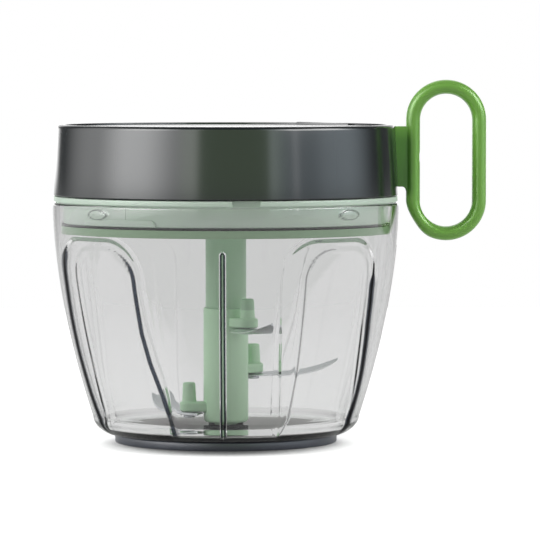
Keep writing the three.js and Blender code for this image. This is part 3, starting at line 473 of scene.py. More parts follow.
def makeBladeSteel():
    # sheet steel brushed along its length, with brighter ground edges marked by the mesh
    tree, shader, _ = startFinish("bladeSteel")
    lines = noise(tree, 90.0, 4.0, 0.65, stretched(tree, (6.0, 40.0, 40.0)))
    cloud = noise(tree, 140.0)
    ground = painted(tree, "groundEdge")
    drift = useGroup(tree, "colorDrift", Color=bladeLook.color, Amount=0.06, Size=150.0)
    rough = bladeLook.roughness + (lines - 0.5) * 0.3 + (cloud - 0.5) * 0.08 - ground * 0.1
    fill(
        tree, shader, Base_Color=mixedColor(tree, ground, drift["Color"], bladeLook.ground), Metallic=1.0,
        Roughness=rough.capped(), Normal=bumped(tree, lines, bladeLook.lineDepth),
    )


cordLook = Values(color=ink(236, 238, 233), fleck=ink(176, 186, 176), pitch=2.4, strands=4.0, depth=0.12)


def makeCordFibre():
    # braided cord: the mesh carries the length along it and the turn about it
    tree, shader, _ = startFinish("cordFibre")
    rise = painted(tree, "alongCord") * (fullTurn / cordLook.pitch)
    turn = painted(tree, "aboutCord") * cordLook.strands
    weave = maths(tree, "MAXIMUM", maths(tree, "SINE", rise + turn), maths(tree, "SINE", rise - turn))
    fleck = eased(noise(tree, 900.0), 0.55, 0.75)
    color = mixedColor(tree, fleck * 0.4, cordLook.color, cordLook.fleck)
    fill(
        tree, shader, Base_Color=color, Sheen_Weight=0.3, Roughness=eased(weave, -1.0, 1.0, 0.9, 0.7),
        Normal=bumped(tree, weave, cordLook.depth),
    )


clearLook = Values(
    ior=1.5, density=34.0, tint=(0.08, 0.1, 0.1, 1), plain=(1, 1, 1, 1), line=ink(16, 20, 28),
    lineGlint=(0.3, 0.3, 0.33, 1), shadow=(0.995, 0.995, 0.995, 1),
)


def makeClearBowl():
    tree, shader, out = startFinish("clearBowl")
    # painted refraction: dark lines painted into the glass, with dimmer reflection along them
    line = painted(tree, "paintedRefractionLine")
    tint = mixedColor(tree, line, clearLook.plain, clearLook.lineGlint)
    color = mixedColor(tree, line, clearLook.plain, clearLook.line)
    fill(
        tree, shader, Specular_Tint=tint, Base_Color=color, IOR=clearLook.ior, Transmission_Weight=1.0,
        Roughness=eased(noise(tree, 70.0, 3.0), 0.4, 0.8, 0.0, 0.03),
        Normal=bumped(tree, noise(tree, 120.0), 0.004),
    )
    # light for what stands inside passes straight through
    rays = outputs(tree, node(tree, "LightPath"))
    passing = maths(tree, "MAXIMUM", rays["Is Shadow Ray"], rays["Is Diffuse Ray"])
    straight = fill(tree, node(tree, "BsdfTransparent"), Color=clearLook.shadow)
    both = feedInTurn(tree, node(tree, "MixShader"), [passing, shader.outputs[0], straight.outputs[0]])
    smoke = fill(tree, node(tree, "VolumeAbsorption"), Color=clearLook.tint, Density=clearLook.density)
    fill(tree, out, Surface=both.outputs[0], Volume=smoke.outputs[0])


shadeLook = Values(color=ink(208, 204, 205), cover=0.6, coverChange=0.12, roughness=0.5, gloss=0.1)


def makeFloorShade():
    # a grey film that shows the pad's dark top and paints shade over the floor's reflections, a little thinner
    # in places
    tree, shader, _ = startFinish("floorShade")
    cover = shadeLook.cover + (noise(tree, 60.0, 3.0) - 0.5) * shadeLook.coverChange
    drift = useGroup(tree, "colorDrift", Color=shadeLook.color, Amount=0.06, Size=40.0)
    fill(
        tree, shader, Base_Color=drift["Color"], Alpha=cover, Roughness=shadeLook.roughness,
        Specular_IOR_Level=shadeLook.gloss,
    )


makeBladeSteel()
makeFloorShade()
makeCordFibre()
makeClearBowl()
print("finishes ready")

# Shapes are pairs of a point array in millimetres and a list of faces


def softened(points, radii, steps=5):
    count = len(points)
    if isinstance(radii, (int, float)):
        radii = [radii] * count
    out = []
    for i in range(count):
        here = np.array(points[i], float)
        before = np.array(points[i - 1], float) - here
        after = np.array(points[(i + 1) % count], float) - here
        spans = np.linalg.norm(before), np.linalg.norm(after)
        before, after = before / spans[0], after / spans[1]
        half = math.acos(float(np.clip(before @ after, -1, 1))) / 2
        if radii[i] <= 0 or half > 1.54 or half < 0.02:
            out.append(here)
            continue
        reach = min(radii[i] / math.tan(half), 0.49 * min(spans))
        radius = reach * math.tan(half)
        middle = before + after
        centre = here + middle / np.linalg.norm(middle) * radius / math.sin(half)
        first, last = here + before * reach - centre, here + after * reach - centre
        sweep = math.pi - 2 * half
        for s in range(steps + 1):
            share = s / steps
            near, far = math.sin((1 - share) * sweep), math.sin(share * sweep)
            out.append(centre + (first * near + last * far) / math.sin(sweep))
    return out


def lofted(rings, closedPath=False, caps=True):
    rings = np.asarray(rings, float)
    count, size = rings.shape[0], rings.shape[1]
    faces = []
    last = count if closedPath else count - 1
    for i in range(last):
        a, b = i * size, ((i + 1) % count) * size
        faces += [(a + j, a + (j + 1) % size, b + (j + 1) % size, b + j) for j in range(size)]
    if caps and not closedPath:
        faces.append(tuple(range(size))[::-1])
        faces.append(tuple(range((count - 1) * size, count * size)))
    return rings.reshape(-1, 3), faces


def turned(profile, sides=160):
    # a closed outline of radius and height, turned about the upright axis
    angles = np.arange(sides) * fullTurn / sides
    outline = np.asarray(profile, float)
    rings = np.empty((sides, len(outline), 3))
    rings[:, :, 0] = np.cos(angles)[:, None] * outline[:, 0]
    rings[:, :, 1] = np.sin(angles)[:, None] * outline[:, 0]
    rings[:, :, 2] = outline[:, 1]
    return lofted(rings, closedPath=True)


def drum(radius, low, high, edge=0.3, sides=48, steps=4):
    outline = [(0, low), (radius, low), (radius, high), (0, high)]
    return turned(softened(outline, [0, edge, edge, 0], steps), sides)


def rod(radius, low, high, sides):
    return turned([(0, low), (radius, low), (radius, high), (0, high)], sides)


def band(inner, outer, low, high, edge=0.3, sides=96, steps=4):
    return turned(softened([(inner, low), (outer, low), (outer, high), (inner, high)], edge, steps), sides)


def shrunk(outline, inset):
    outline = np.asarray(outline, float)
    ahead = np.roll(outline, -1, axis=0) - outline
    behind = outline - np.roll(outline, 1, axis=0)
    ahead /= np.linalg.norm(ahead, axis=1)[:, None]
    behind /= np.linalg.norm(behind, axis=1)[:, None]
    along = ahead + behind
    along /= np.linalg.norm(along, axis=1)[:, None]
    inward = np.stack([-along[:, 1], along[:, 0]], axis=1)
    cosine = np.clip((ahead * along).sum(axis=1), 0.4, 1)
    return outline + inward * (inset / cosine)[:, None]


def plate(outline, low, high, edge=0.4, steps=4):
    # an outline that runs to the left of its inside, raised with rounded edges
    sweep = [quarterTurn * i / steps for i in range(steps + 1)]
    levels = [(1 - math.sin(a), low + edge * (1 - math.cos(a))) for a in sweep]
    levels += [(1 - math.cos(a), high - edge * (1 - math.sin(a))) for a in sweep]
    rings = []
    for inset, z in levels:
        flat = shrunk(outline, edge * inset)
        rings.append(np.column_stack([flat, np.full(len(flat), z)]))
    return lofted(rings)


def gathered(*shapes):
    points, faces, start = [], [], 0
    for shapePoints, shapeFaces in shapes:
        points.append(np.asarray(shapePoints, float))
        faces += [tuple(start + corner for corner in face) for face in shapeFaces]
        start += len(shapePoints)
    return np.concatenate(points), faces


def shifted(shape, x=0.0, y=0.0, z=0.0):
    return shape[0] + np.array([x, y, z]), shape[1]


def spun(shape, degrees, axis="z"):
    angle = math.radians(degrees)
    c, s = math.cos(angle), math.sin(angle)
    matrix = {
        "x": [[1, 0, 0], [0, c, -s], [0, s, c]],
        "y": [[c, 0, s], [0, 1, 0], [-s, 0, c]],
        "z": [[c, -s, 0], [s, c, 0], [0, 0, 1]],
    }[axis]
    return shape[0] @ np.array(matrix).T, shape[1]


def rawMesh(name, shape):
    mesh = bpy.data.meshes.new(name)
    mesh.from_pydata([tuple(point) for point in shape[0] * mm], [], shape[1])
    return mesh


def turnedOut(mesh, merge=True):
    work = bmesh.new()
    work.from_mesh(mesh)
    if merge:
        bmesh.ops.remove_doubles(work, verts=work.verts, dist=2e-7)
        bmesh.ops.dissolve_degenerate(work, edges=work.edges, dist=1e-7)
    bmesh.ops.recalc_face_normals(work, faces=work.faces)
    work.to_mesh(mesh)
    work.free()
    return mesh


def meshFrom(name, shape):
    return turnedOut(rawMesh(name, shape))


def mark(piece, title, values):
    layer = piece.data.attributes.new(title, "FLOAT", "POINT")
    layer.data.foreach_set("value", np.asarray(values, np.float32))


def carved(piece, shape, operation="DIFFERENCE", overlaps=False):
    other = placed("cutter", meshFrom("cutter", shape))
    change = piece.modifiers.new("carve", "BOOLEAN")
    change.operation = operation
    change.solver = "EXACT"
    change.use_self = overlaps
    change.object = other
    seen = piece.evaluated_get(bpy.context.evaluated_depsgraph_get())
    mesh = bpy.data.meshes.new_from_object(seen)
    piece.modifiers.clear()
    old = piece.data
    piece.data = mesh
    mesh.name = piece.name
    bpy.data.meshes.remove(old)
    bpy.data.objects.remove(other)


def added(piece, shape):
    extra = meshFrom("extra", shape)
    work = bmesh.new()
    work.from_mesh(piece.data)
    work.from_mesh(extra)
    work.to_mesh(piece.data)
    work.free()
    bpy.data.meshes.remove(extra)


def dressed(piece, finish, body, replaced=(), sharp=35, slot=None):
    mesh = piece.data
    mesh.materials.clear()
    mesh.materials.append(finishes[finish])
    mesh.shade_smooth()
    mesh.set_sharp_from_angle(angle=math.radians(sharp))
    if body:
        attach(piece, body)
    if replaced:
        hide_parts(*replaced)
    slot or "".join("_" + letter.lower() if letter.isupper() else letter for letter in finish)


def finished(name, shape, *looks, **settings):
    dressed(placed(name, meshFrom(name, shape)), *looks, **settings)


def startPiece(name, shape):
    return placed(name, meshFrom(name, shape))


def smoothStep(low, high, value):
    share = np.clip((value - low) / (high - low), 0, 1)
    return share * share * (3 - 2 * share)


# The clear bowl, with four arched panels, four thin upright fins and a socket for the pin

bowlSizes = Values(
    rimRadius=65.4, rimHeight=90.6, heelRadius=50.3, heelHeight=9.6, heelShare=1.45, baseRadius=43.2,
    base=3.1, ribOuter=33.0, ribWidth=2.2, ribDepth=1.5, floorTop=5.5, wall=2.4, curveShare=1.75,
    rimRound=0.8, innerHeel=2.7,
    turn=-1.1,  # degrees, as the photo shows the front fin
    panelTop=79.0, panelCorner=15.0, panelStep=0.62, archTop=75.0, archCorner=11.5, archStep=0.34,
    finWidth=2.4, finHeight=0.8, sideFinHeight=0.12, finTop=74.6, bumpHeight=87.4, bumpHalf=(4.8, 1.85, 0.6),
    socketRadius=2.8, socketDepth=1.5, innerPanelStep=0.36, innerArchStep=0.24,
)

# heights, and degrees from a panel's middle to its edge and to its arch, on its left and its right side
panelEdges = {
    "left": ([8, 35, 60, 80], [22.0, 24.7, 26.0, 26.0]),
    "farLeft": ([8, 14, 20, 35, 48, 60, 80], [24.0, 26.1, 27.3, 28.4, 27.8, 26.7, 26.0]),
    "right": ([8, 14, 20, 27, 35, 47, 60, 80], [23.0, 24.0, 23.9, 22.9, 20.9, 18.3, 16.7, 16.4]),
}
archEdges = {
    "left": ([5, 12, 30, 75], [20.6, 17.0, 16.0, 16.0]),
    "right": ([8, 20, 33, 44, 60, 75], [23.4, 20.4, 16.6, 14.6, 13.5, 12.8]),
}
# dark lines that the photo shows along edges: azimuth from the front, half width in mm, strength
# painted refraction: these lines are dark colour painted into the glass where its edges refract the dark room
edgeLines = {
    "archNearLeft": Values(of="arch", span=(-47, -12), half=1.1, strength=1.0, top=7.0),
    "archNearRight": Values(of="arch", span=(12, 39), half=0.38, strength=0.75, top=0.6),
    "panelFarLeft": Values(of="panel", span=(-86, -58), half=2.6, strength=1.0, top=6.0),
    "panelFarRight": Values(of="panel", span=(54, 76), half=1.7, strength=1.0, top=6.0, lower=9.0),
}


def bowlRadius(z):
    sizes = bowlSizes
    rise = (np.asarray(z, float) - sizes.heelHeight) / (sizes.rimHeight - sizes.heelHeight)
    left = 1 - np.clip(rise, 0, 1)
    return sizes.rimRadius - (sizes.rimRadius - sizes.heelRadius) * left ** sizes.curveShare


def edgeDegrees(edges, side, z):
    return float(np.interp(z, *edges.get(side, edges["left"])))


def insideOf(across, z, radius, edges, top, corner, far):
    # how far a point lies inside an outline with two rounded upper corners
    left, farLeft, right = (
        radius * math.sin(math.radians(edgeDegrees(edges, side, z))) for side in ("left", "farLeft", "right")
    )
    left = np.where(far, farLeft, left)
    side = np.where(across < 0, left + across, right - across)
    up = top - z
    sideGap, upGap = corner - side, corner - up
    rounded = corner - np.hypot(np.maximum(sideGap, 0), max(upGap, 0))
    return np.where((sideGap > 0) & (upGap > 0), rounded, np.minimum(side, up))


def bowlShape():
    sizes = bowlSizes
    base, floorTop, heelHeight, rim = sizes.base, sizes.floorTop, sizes.heelHeight, sizes.rimRound
    # columns between a fin's middle and a panel's, as shares between the lines that matter
    shares = [np.linspace(0, 1, count)[:-1] for count in (15, 9, 15, 9, 15)] + [np.linspace(0, 1, 15)]

    def halfColumns(side, z, radius):
        outerEdge, innerEdge = (45 - edgeDegrees(edges, side, z) for edges in (panelEdges, archEdges))
        oneMm = math.degrees(1 / radius)
        finEdge = sizes.finWidth / 2 + 0.3
        marks = [0, math.degrees(finEdge / radius), outerEdge - 1.2 * oneMm, outerEdge + 2.0 * oneMm]
        marks.append(max(innerEdge - 1.3 * oneMm, marks[-1] + 0.2 * oneMm))
        marks += [max(innerEdge + 1.6 * oneMm, marks[-1] + oneMm), 45]
        spans = zip(shares, marks, marks[1:])
        return np.concatenate([low + share * (high - low) for share, low, high in spans])

    def wholeTurn(z, radius):
        after = 90 - halfColumns("right", z, radius)[-2:0:-1]
        quarters = [
            np.concatenate([halfColumns(side, z, radius), after]) + 90 * quarter
            for quarter, side in enumerate(("left", "left", "left", "farLeft"))
        ]
        return np.concatenate(quarters) + sizes.turn - 90

    def rows(low, high):
        fine = [np.arange(low, 20, 1.1), np.arange(20, 60, 1.6), np.arange(60, 71, 0.8)]
        fine += [np.arange(71, 80.5, 0.35), np.arange(80.5, 85, 1.1), np.arange(85, high, 0.35), [high]]
        return np.concatenate(fine)

    # radius, height and 1 on the outer wall, -1 on the inner
    ribInner, ribOuter, ribFoot = sizes.ribOuter - sizes.ribWidth, sizes.ribOuter, base - sizes.ribDepth
    rib = [(20, base), (ribInner, base), (ribInner, ribFoot), (ribOuter, ribFoot), (ribOuter, base), (41, base)]
    outline = [(0.01, base, 0)] + [(r, z, 0) for r, z in softened(rib, [0, 0.3, 0.3, 0.3, 0.3, 0], 3)]
    for angle in quarterTurn * np.arange(16) / 16:
        r = sizes.baseRadius + (sizes.heelRadius - sizes.baseRadius) * math.sin(angle) ** sizes.heelShare
        outline.append((r, heelHeight - (heelHeight - base) * math.cos(angle), 1))
    rimFoot, innerRim = sizes.rimHeight - rim, sizes.rimRadius - sizes.wall + rim
    outline += [(float(bowlRadius(z)), z, 1) for z in rows(heelHeight, rimFoot)]
    for angle in quarterTurn * np.arange(1, 6) / 6:
        outline.append((sizes.rimRadius - rim + rim * math.cos(angle), rimFoot + rim * math.sin(angle), 0))
    for angle in quarterTurn * (1 - np.arange(6) / 6):
        outline.append((innerRim - rim * math.cos(angle), rimFoot + rim * math.sin(angle), 0))
    heel, heelTop = sizes.innerHeel, floorTop + sizes.innerHeel
    outline += [(float(bowlRadius(z)) - sizes.wall, z, -1) for z in rows(heelTop, rimFoot)[::-1]]
    heelWall = float(bowlRadius(heelTop)) - sizes.wall
    for angle in quarterTurn * np.arange(1, 13) / 12:
        outline.append((heelWall - heel * (1 - math.cos(angle)), heelTop - heel * math.sin(angle), -1))
    outline += [(r, floorTop, 0) for r in (36, 28, 20, 12, 7)]
    socket, socketFloor = sizes.socketRadius, floorTop - sizes.socketDepth
    floor = [(5, floorTop), (socket, floorTop), (socket, socketFloor), (0.01, socketFloor)]
    outline += [(r, z, 0) for r, z in softened(floor, [0, 0.3, 0.3, 0], 3)]

    points, lines = [], []
    bumpWide, bumpTall, bumpProud = sizes.bumpHalf
    for r, z, side in outline:
        radius = float(bowlRadius(max(z, heelHeight)))
        degrees = wholeTurn(z, radius)
        angles = np.radians(degrees)
        line, reached = np.zeros(len(angles)), np.full(len(angles), r)
        if side:
            azimuth = np.mod(degrees + 270, 360) - 180
            fromFin = degrees + 90 - sizes.turn
            acrossPanel = radius * np.sin(np.radians(np.mod(fromFin, 90) - 45))
            far = (azimuth < sizes.turn - 45) & (azimuth > sizes.turn - 90.5)
            outer = insideOf(acrossPanel, z, radius, panelEdges, sizes.panelTop, sizes.panelCorner, far)
            inner = insideOf(acrossPanel, z, radius, archEdges, sizes.archTop, sizes.archCorner, far)
        if side > 0:
            fade = float(smoothStep(base, base + 3, z))
            drop = sizes.panelStep * smoothStep(-0.1, 1.8, outer)
            drop = drop + sizes.archStep * smoothStep(-1.1, 1.1, inner)
            acrossFin = np.abs(radius * np.radians(np.mod(fromFin + 45, 90) - 45))
            half = sizes.finWidth / 2
            fin = np.hypot(acrossFin, max(z - sizes.finTop + half, 0)) / half
            ahead = np.abs(np.mod(fromFin + 45, 180) - 45) < 45
            rise = np.where(ahead, sizes.finHeight, sizes.sideFinHeight) * np.sqrt(np.clip(1 - fin**4, 0, 1))
            reached = reached - drop * fade + rise * float(smoothStep(base - 0.5, base + 1.5, z))
            bump = (acrossPanel / bumpWide) ** 2 + ((z - sizes.bumpHeight) / bumpTall) ** 2
            reached = reached + bumpProud * np.sqrt(np.clip(1 - bump**2, 0, 1))
            # painted refraction: dark lines on the fins' flanks and round the bump, fainter on the back half
            # in shares of the fin's half width, and below of the bump's outline
            line = smoothStep(0.14, 0.27, fin) * smoothStep(0.95, 0.75, fin)
            line = line * ((np.abs(azimuth) < 30) + 0.35 * (np.abs(azimuth) > 150))
            for trace in edgeLines.values():
                away, top = (inner, sizes.archTop) if trace.of == "arch" else (outer - 0.5, sizes.panelTop - 3)
                top -= trace.get("lower", 0)
                half = trace.half * float(smoothStep(-0.3, trace.top, top - z)) + 1e-3
                here = (azimuth > trace.span[0]) & (azimuth < trace.span[1])
                stroke = smoothStep(1.25 * half, 0.75 * half, np.abs(away))
                line = np.maximum(line, trace.strength * stroke * here)
            ring = np.sqrt(bump)
            line = (line + 0.9 * smoothStep(0.78, 0.9, ring) * smoothStep(1.12, 1.0, ring)) * fade
        elif side < 0:
            drop = sizes.innerPanelStep * smoothStep(-2.0, 2.6, outer)
            drop = drop + sizes.innerArchStep * smoothStep(-1.8, 1.8, inner)
            reached = reached - drop * float(smoothStep(floorTop + 0.5, floorTop + 4, z))
        heights = np.full(len(angles), z)
        points.append(np.column_stack([reached * np.cos(angles), reached * np.sin(angles), heights]))
        lines.append(line)
    shape, faces = lofted(points, caps=False)
    size, total = len(lines[0]), len(shape)
    return (shape, faces + [tuple(range(size))[::-1], tuple(range(total - size, total))]), np.concatenate(lines)


def makeBowl():
    shape, lines = bowlShape()
    piece = placed("clearBowl", turnedOut(rawMesh("clearBowl", shape), merge=False))
    mark(piece, "paintedRefractionLine", lines)
    dressed(piece, "clearBowl", "bowl", ["bowl_shell"], 28)


makeBowl()

footSizes = Values(radius=42.0, height=2.95, edge=0.4, grooves=(8, 14, 20, 26, 37), shadeReach=1.4)


def makeFoot():
    sizes = footSizes
    profile, radii = [(0, 0)], [0]
    for groove in sizes.grooves:
        profile += [(groove - 0.8, 0), (groove - 0.5, 0.5), (groove + 0.5, 0.5), (groove + 0.8, 0)]
        radii += [0.15] * 4
    profile += [(sizes.radius, 0), (sizes.radius, sizes.height), (33.3, sizes.height), (33.3, 1.3)]
    profile += [(30.5, 1.3), (30.5, sizes.height), (0, sizes.height)]
    radii += [sizes.edge, 0.2, 0.2, 0.2, 0.2, 0.2, 0]
    finished("footPad", turned(softened(profile, radii, 4), 200), "footRubber", "bowl", ["foot_pad"])
    # the pad's dark top as it shows through the clear floor, laid on the bowl's floor as a grey sheet that also
    # paints shade over its reflections
    shade = band(2.9, sizes.radius + sizes.shadeReach, 5.52, 5.6, 0.02, 160)
    finished("floorShade", shade, "floorShade", "bowl", slot="foot_rubber")


makeFoot()


def makePivot():
    pin = softened([(0, 4.3), (2.5, 4.3), (2.5, 34.3), (0, 34.3)], [0, 0.2, 0.7, 0])
    finished("pivotPin", turned(pin, 64), "pinSteel", "bowl", ["pivot_pin"])
    # a dark washer under the post; its dark colour and width also stand in for the shade under the post's foot
    outline = [(2.8, 5.8), (8.5, 5.8), (8.5, 6.5), (6.6, 6.5), (6.6, 7.2), (2.8, 7.2)]
    washer = softened(outline, [0.1, 0.25, 0.25, 0.2, 0.2, 0.1], 4)
    finished("pivotWasher", turned(washer, 120), "darkRubber", "bowl", ["pivot_washer"])


makePivot()
print("bowl, foot and pivot ready")

# The blade post with its arms and pegs

postSizes = Values(
    radius=8.5, neckRadius=7.7, bottom=7.5, step=50.7, top=84.2, bottomRound=1.6, armThickness=3.5,
    armHalf=3.9, mountRadius=14.0, pegRadius=2.75, pegTopRadius=2.35, pegHeight=7.4, bore=2.8, bushBore=4.3,
    bushDepth=12, clawBore=4.5, clawDepth=8, screwBore=1.4,
    arms={"upper": (43.9, -54.5), "middle": (25.6, 42.0), "lower": (11.7, 184.0)},
)


def around(radius, angle):
    return radius * math.cos(angle), radius * math.sin(angle)


def armOutline(half, reach, start):
    points = [(start, -half)]
    points += [(reach + half * math.sin(a), -half * math.cos(a)) for a in np.linspace(0, math.pi, 25)]
    points.append((start, half))
    return points


def claw(low, high):
    # one of the three curved dogs by which the hub drives the post
    sweep = np.radians(np.linspace(-12.5, 12.5, 9))
    return plate([around(7.4, a) for a in sweep] + [around(4.8, a) for a in sweep[::-1]], low, high, 0.35, 3)


def makePost():
    sizes = postSizes
    bushTop, clawBottom = sizes.bottom + sizes.bushDepth, sizes.top - sizes.clawDepth
    outline = [
        (sizes.bushBore, sizes.bottom), (sizes.radius, sizes.bottom), (sizes.radius, sizes.step),
        (sizes.neckRadius, sizes.step + 0.25), (sizes.neckRadius, sizes.top), (sizes.clawBore, sizes.top),
        (sizes.clawBore, clawBottom), (sizes.bore, clawBottom), (sizes.bore, bushTop),
        (sizes.bushBore, bushTop),
    ]
    radii = [0.2, sizes.bottomRound, 0.3, 0.3, 0.4, 0.3, 0.2, 0.2, 0.1, 0.1]
    parts = [turned(softened(outline, radii, 5), 120)]
    for height, angle in sizes.arms.values():
        half = sizes.armHalf
        arm = plate(armOutline(half, sizes.mountRadius, 6.5), height, height + sizes.armThickness, 0.7, 5)
        pegBottom, pegTop = height + sizes.armThickness - 0.2, height + sizes.armThickness + sizes.pegHeight
        peg = [(0, pegBottom), (sizes.pegRadius + 0.5, pegBottom), (sizes.pegRadius, pegBottom + 0.7)]
        peg += [(sizes.pegTopRadius, pegTop), (0, pegTop)]
        peg = turned(softened(peg, [0, 0, 0.5, 0.9, 0], 6), 48)
        # the arm narrows to a web where it meets the post
        web = plate([(5.5, -3.0), (11.5, -3.0), (11.5, 3.0), (5.5, 3.0)], height + 0.5, height + 2.6, 0.5, 4)
        parts += [spun(gathered(arm, shifted(peg, sizes.mountRadius), web), angle)]
    parts += [spun(claw(sizes.top - 0.6, sizes.top + 3.5), angle) for angle in (0, 120, 240)]
    post = startPiece("bladePost", gathered(*parts))
    for height, angle in sizes.arms.values():
        bore = rod(sizes.screwBore, height - 1, height + 8.3, 20)
        carved(post, spun(shifted(bore, sizes.mountRadius), angle), overlaps=True)
    dressed(post, "postMint", "blade", ["blade_column"], 40)
    finished("postBush", band(2.8, 4.0, 7.8, 19.2, 0.25, 64), "brass", "blade", ["column_bush"])


makePost()

bladeSizes = Values(
    heel=7.5, length=36.0, thickness=1.0, spineBulge=4.6, edgeBulge=8.6, tipWidth=0.6, tipRise=4.4,
    bendStart=0.5, widest=0.4, fullness=0.75, grind=2.6, gapUnderArm=0.3,
    headings={"upper": -21.5, "middle": -19.0, "lower": -70.0},
)


def bladeShape():
    # flat rings across the blade, with its hollow-ground edge on the -Y side
    sizes = bladeSizes
    rings, ground = [], []
    stations = 1 - np.cos(np.linspace(0, math.pi, 61))
    for share in stations / 2:
        fromWidest = share - sizes.widest
        reach = sizes.widest if fromWidest < 0 else 1 - sizes.widest
        swell = max(math.cos(quarterTurn * fromWidest / reach), 0) ** sizes.fullness
        x = -sizes.heel + (sizes.heel + sizes.length) * share
        spine = sizes.tipWidth / 2 + sizes.spineBulge * swell
        edge = -sizes.tipWidth / 2 - sizes.edgeBulge * swell
        past = max(share - sizes.bendStart, 0) / (1 - sizes.bendStart)
        top = sizes.tipRise * past**2
        grind = min(sizes.grind, 0.45 * (spine - edge))
        half = sizes.thickness / 2
        soft = min(0.15, 0.2 * (spine - edge))
        rings.append([
            (x, edge, top - half - 0.06), (x, edge + grind, top - 2 * half), (x, spine - soft, top - 2 * half),
            (x, spine, top - 2 * half + soft), (x, spine, top - soft), (x, spine - soft, top),
            (x, edge + grind, top), (x, edge, top - half + 0.06),
        ])
        ground.append([1, 0, 0, 0, 0, 0, 0, 1])
    return lofted(rings), np.array(ground, float).ravel()


def makeBlade(name, height, armAngle, turn):
    shape, ground = bladeShape()
    mount = postSizes.mountRadius
    shape = shifted(spun(shape, turn), mount, 0, height - bladeSizes.gapUnderArm)
    piece = placed(f"blade_{name}_sheet", rawMesh("blade", spun(shape, armAngle)))
    mark(piece, "groundEdge", ground)
    low, high = height - 3, height + 1  # well past the sheet on both sides
    carved(piece, spun(shifted(rod(postSizes.screwBore, low, high, 32), mount), armAngle))
    carved(piece, rod(8.9, low, high, 96))
    dressed(piece, "bladeSteel", "blade", [f"blade_{name}"], 25)


def makeScrew(name, node, where, head):
    # a domed cross head at the bottom, a shank with rolled rings up to the tip
    bottom, shank, tip = head.bottom, head.shank, head.tip
    top, thin = bottom + head.height, shank * 0.8
    dome = [(math.sin(a), math.cos(a)) for a in np.linspace(0.2, quarterTurn, 7)]
    profile = [(0, bottom - head.dome)] + [(head.radius * x, bottom - head.dome * z) for x, z in dome]
    profile += [(head.radius, top), (thin, top)]
    z = top + 0.4
    while z < tip - 1.0:
        profile += [(thin, z), (shank, z + 0.2), (shank, z + 0.28), (thin, z + 0.5)]
        z += 0.7
    profile += [(shank * 0.7, tip - 0.4), (0, tip)]
    piece = startPiece(name, shifted(turned(profile, 40), *where))
    reach, half = head.radius * 0.6, head.radius * 0.12
    slot = [(-reach, -half), (reach, -half), (reach, half), (-reach, half)]
    slot = plate(slot, bottom - 1, bottom + head.height * 0.45, 0.05, 1)
    for bar in (slot, spun(slot, 90)):
        carved(piece, shifted(bar, *where))
    dressed(piece, "pinSteel", head.body, [node], 30)


for armName, (armHeight, armAngle) in postSizes.arms.items():
    makeBlade(armName, armHeight, armAngle, bladeSizes.headings[armName])
    headTop = armHeight - bladeSizes.gapUnderArm - bladeSizes.thickness - 0.3
    head = Values(
        radius=2.3, height=0.7, shank=1.1, bottom=headTop - 0.7, tip=armHeight + 8, dome=0.2, body="blade",
    )
    mountAt = around(postSizes.mountRadius, math.radians(armAngle))
    makeScrew(f"bladeScrew_{armName}", f"blade_screw_{armName}", mountAt, head)
print("post and blades ready")

# The lid: base with its skirt, seal and cover

lidSizes = Values(
    bore=9.6, flangeRadius=64.9, flangeBottom=90.9, deckTop=93.0, skirtRadius=61.4, skirtWall=2.4,
    skirtBottom=81.2, grooveBottom=81.6, grooveTop=83.2, grooveDepth=1.2, notchLeft=2.0, notchRight=12.9,
    notchSlant=0.8, notchDepth=3.3, tabCentre=-40.0, tabSpan=32.0, tabHeight=2.6, tabDepth=0.6,
    rampStart=-70.0, rampSpan=12.0, rampDepth=0.22,
)


def skirtPlate(start, end, low, highAt, depth, edge, steps=80):
    # a thin plate that follows the skirt, with an upper edge that changes along it
    inner, outer = lidSizes.skirtRadius - 0.4, lidSizes.skirtRadius + depth
    rings = []
    for share in np.linspace(0, 1, steps + 1):
        angle = math.radians(start + (end - start) * share)
        high = highAt(share)
        soft = min(edge, 0.45 * (high - low))
        bit = soft * 0.3
        section = [(inner, low), (outer - soft, low), (outer - bit, low + bit), (outer, low + soft)]
        section += [(outer, high - soft), (outer - bit, high - bit), (outer - soft, high), (inner, high)]
        rings.append([(*around(r, angle), z) for r, z in section])
    return lofted(rings)


def roundedEnds(share, length, corner):
    # how far a plate's edge draws back near its two ends
    gap = max(corner - share * length, corner - (1 - share) * length, 0)
    return corner - math.sqrt(max(corner**2 - gap**2, 0))


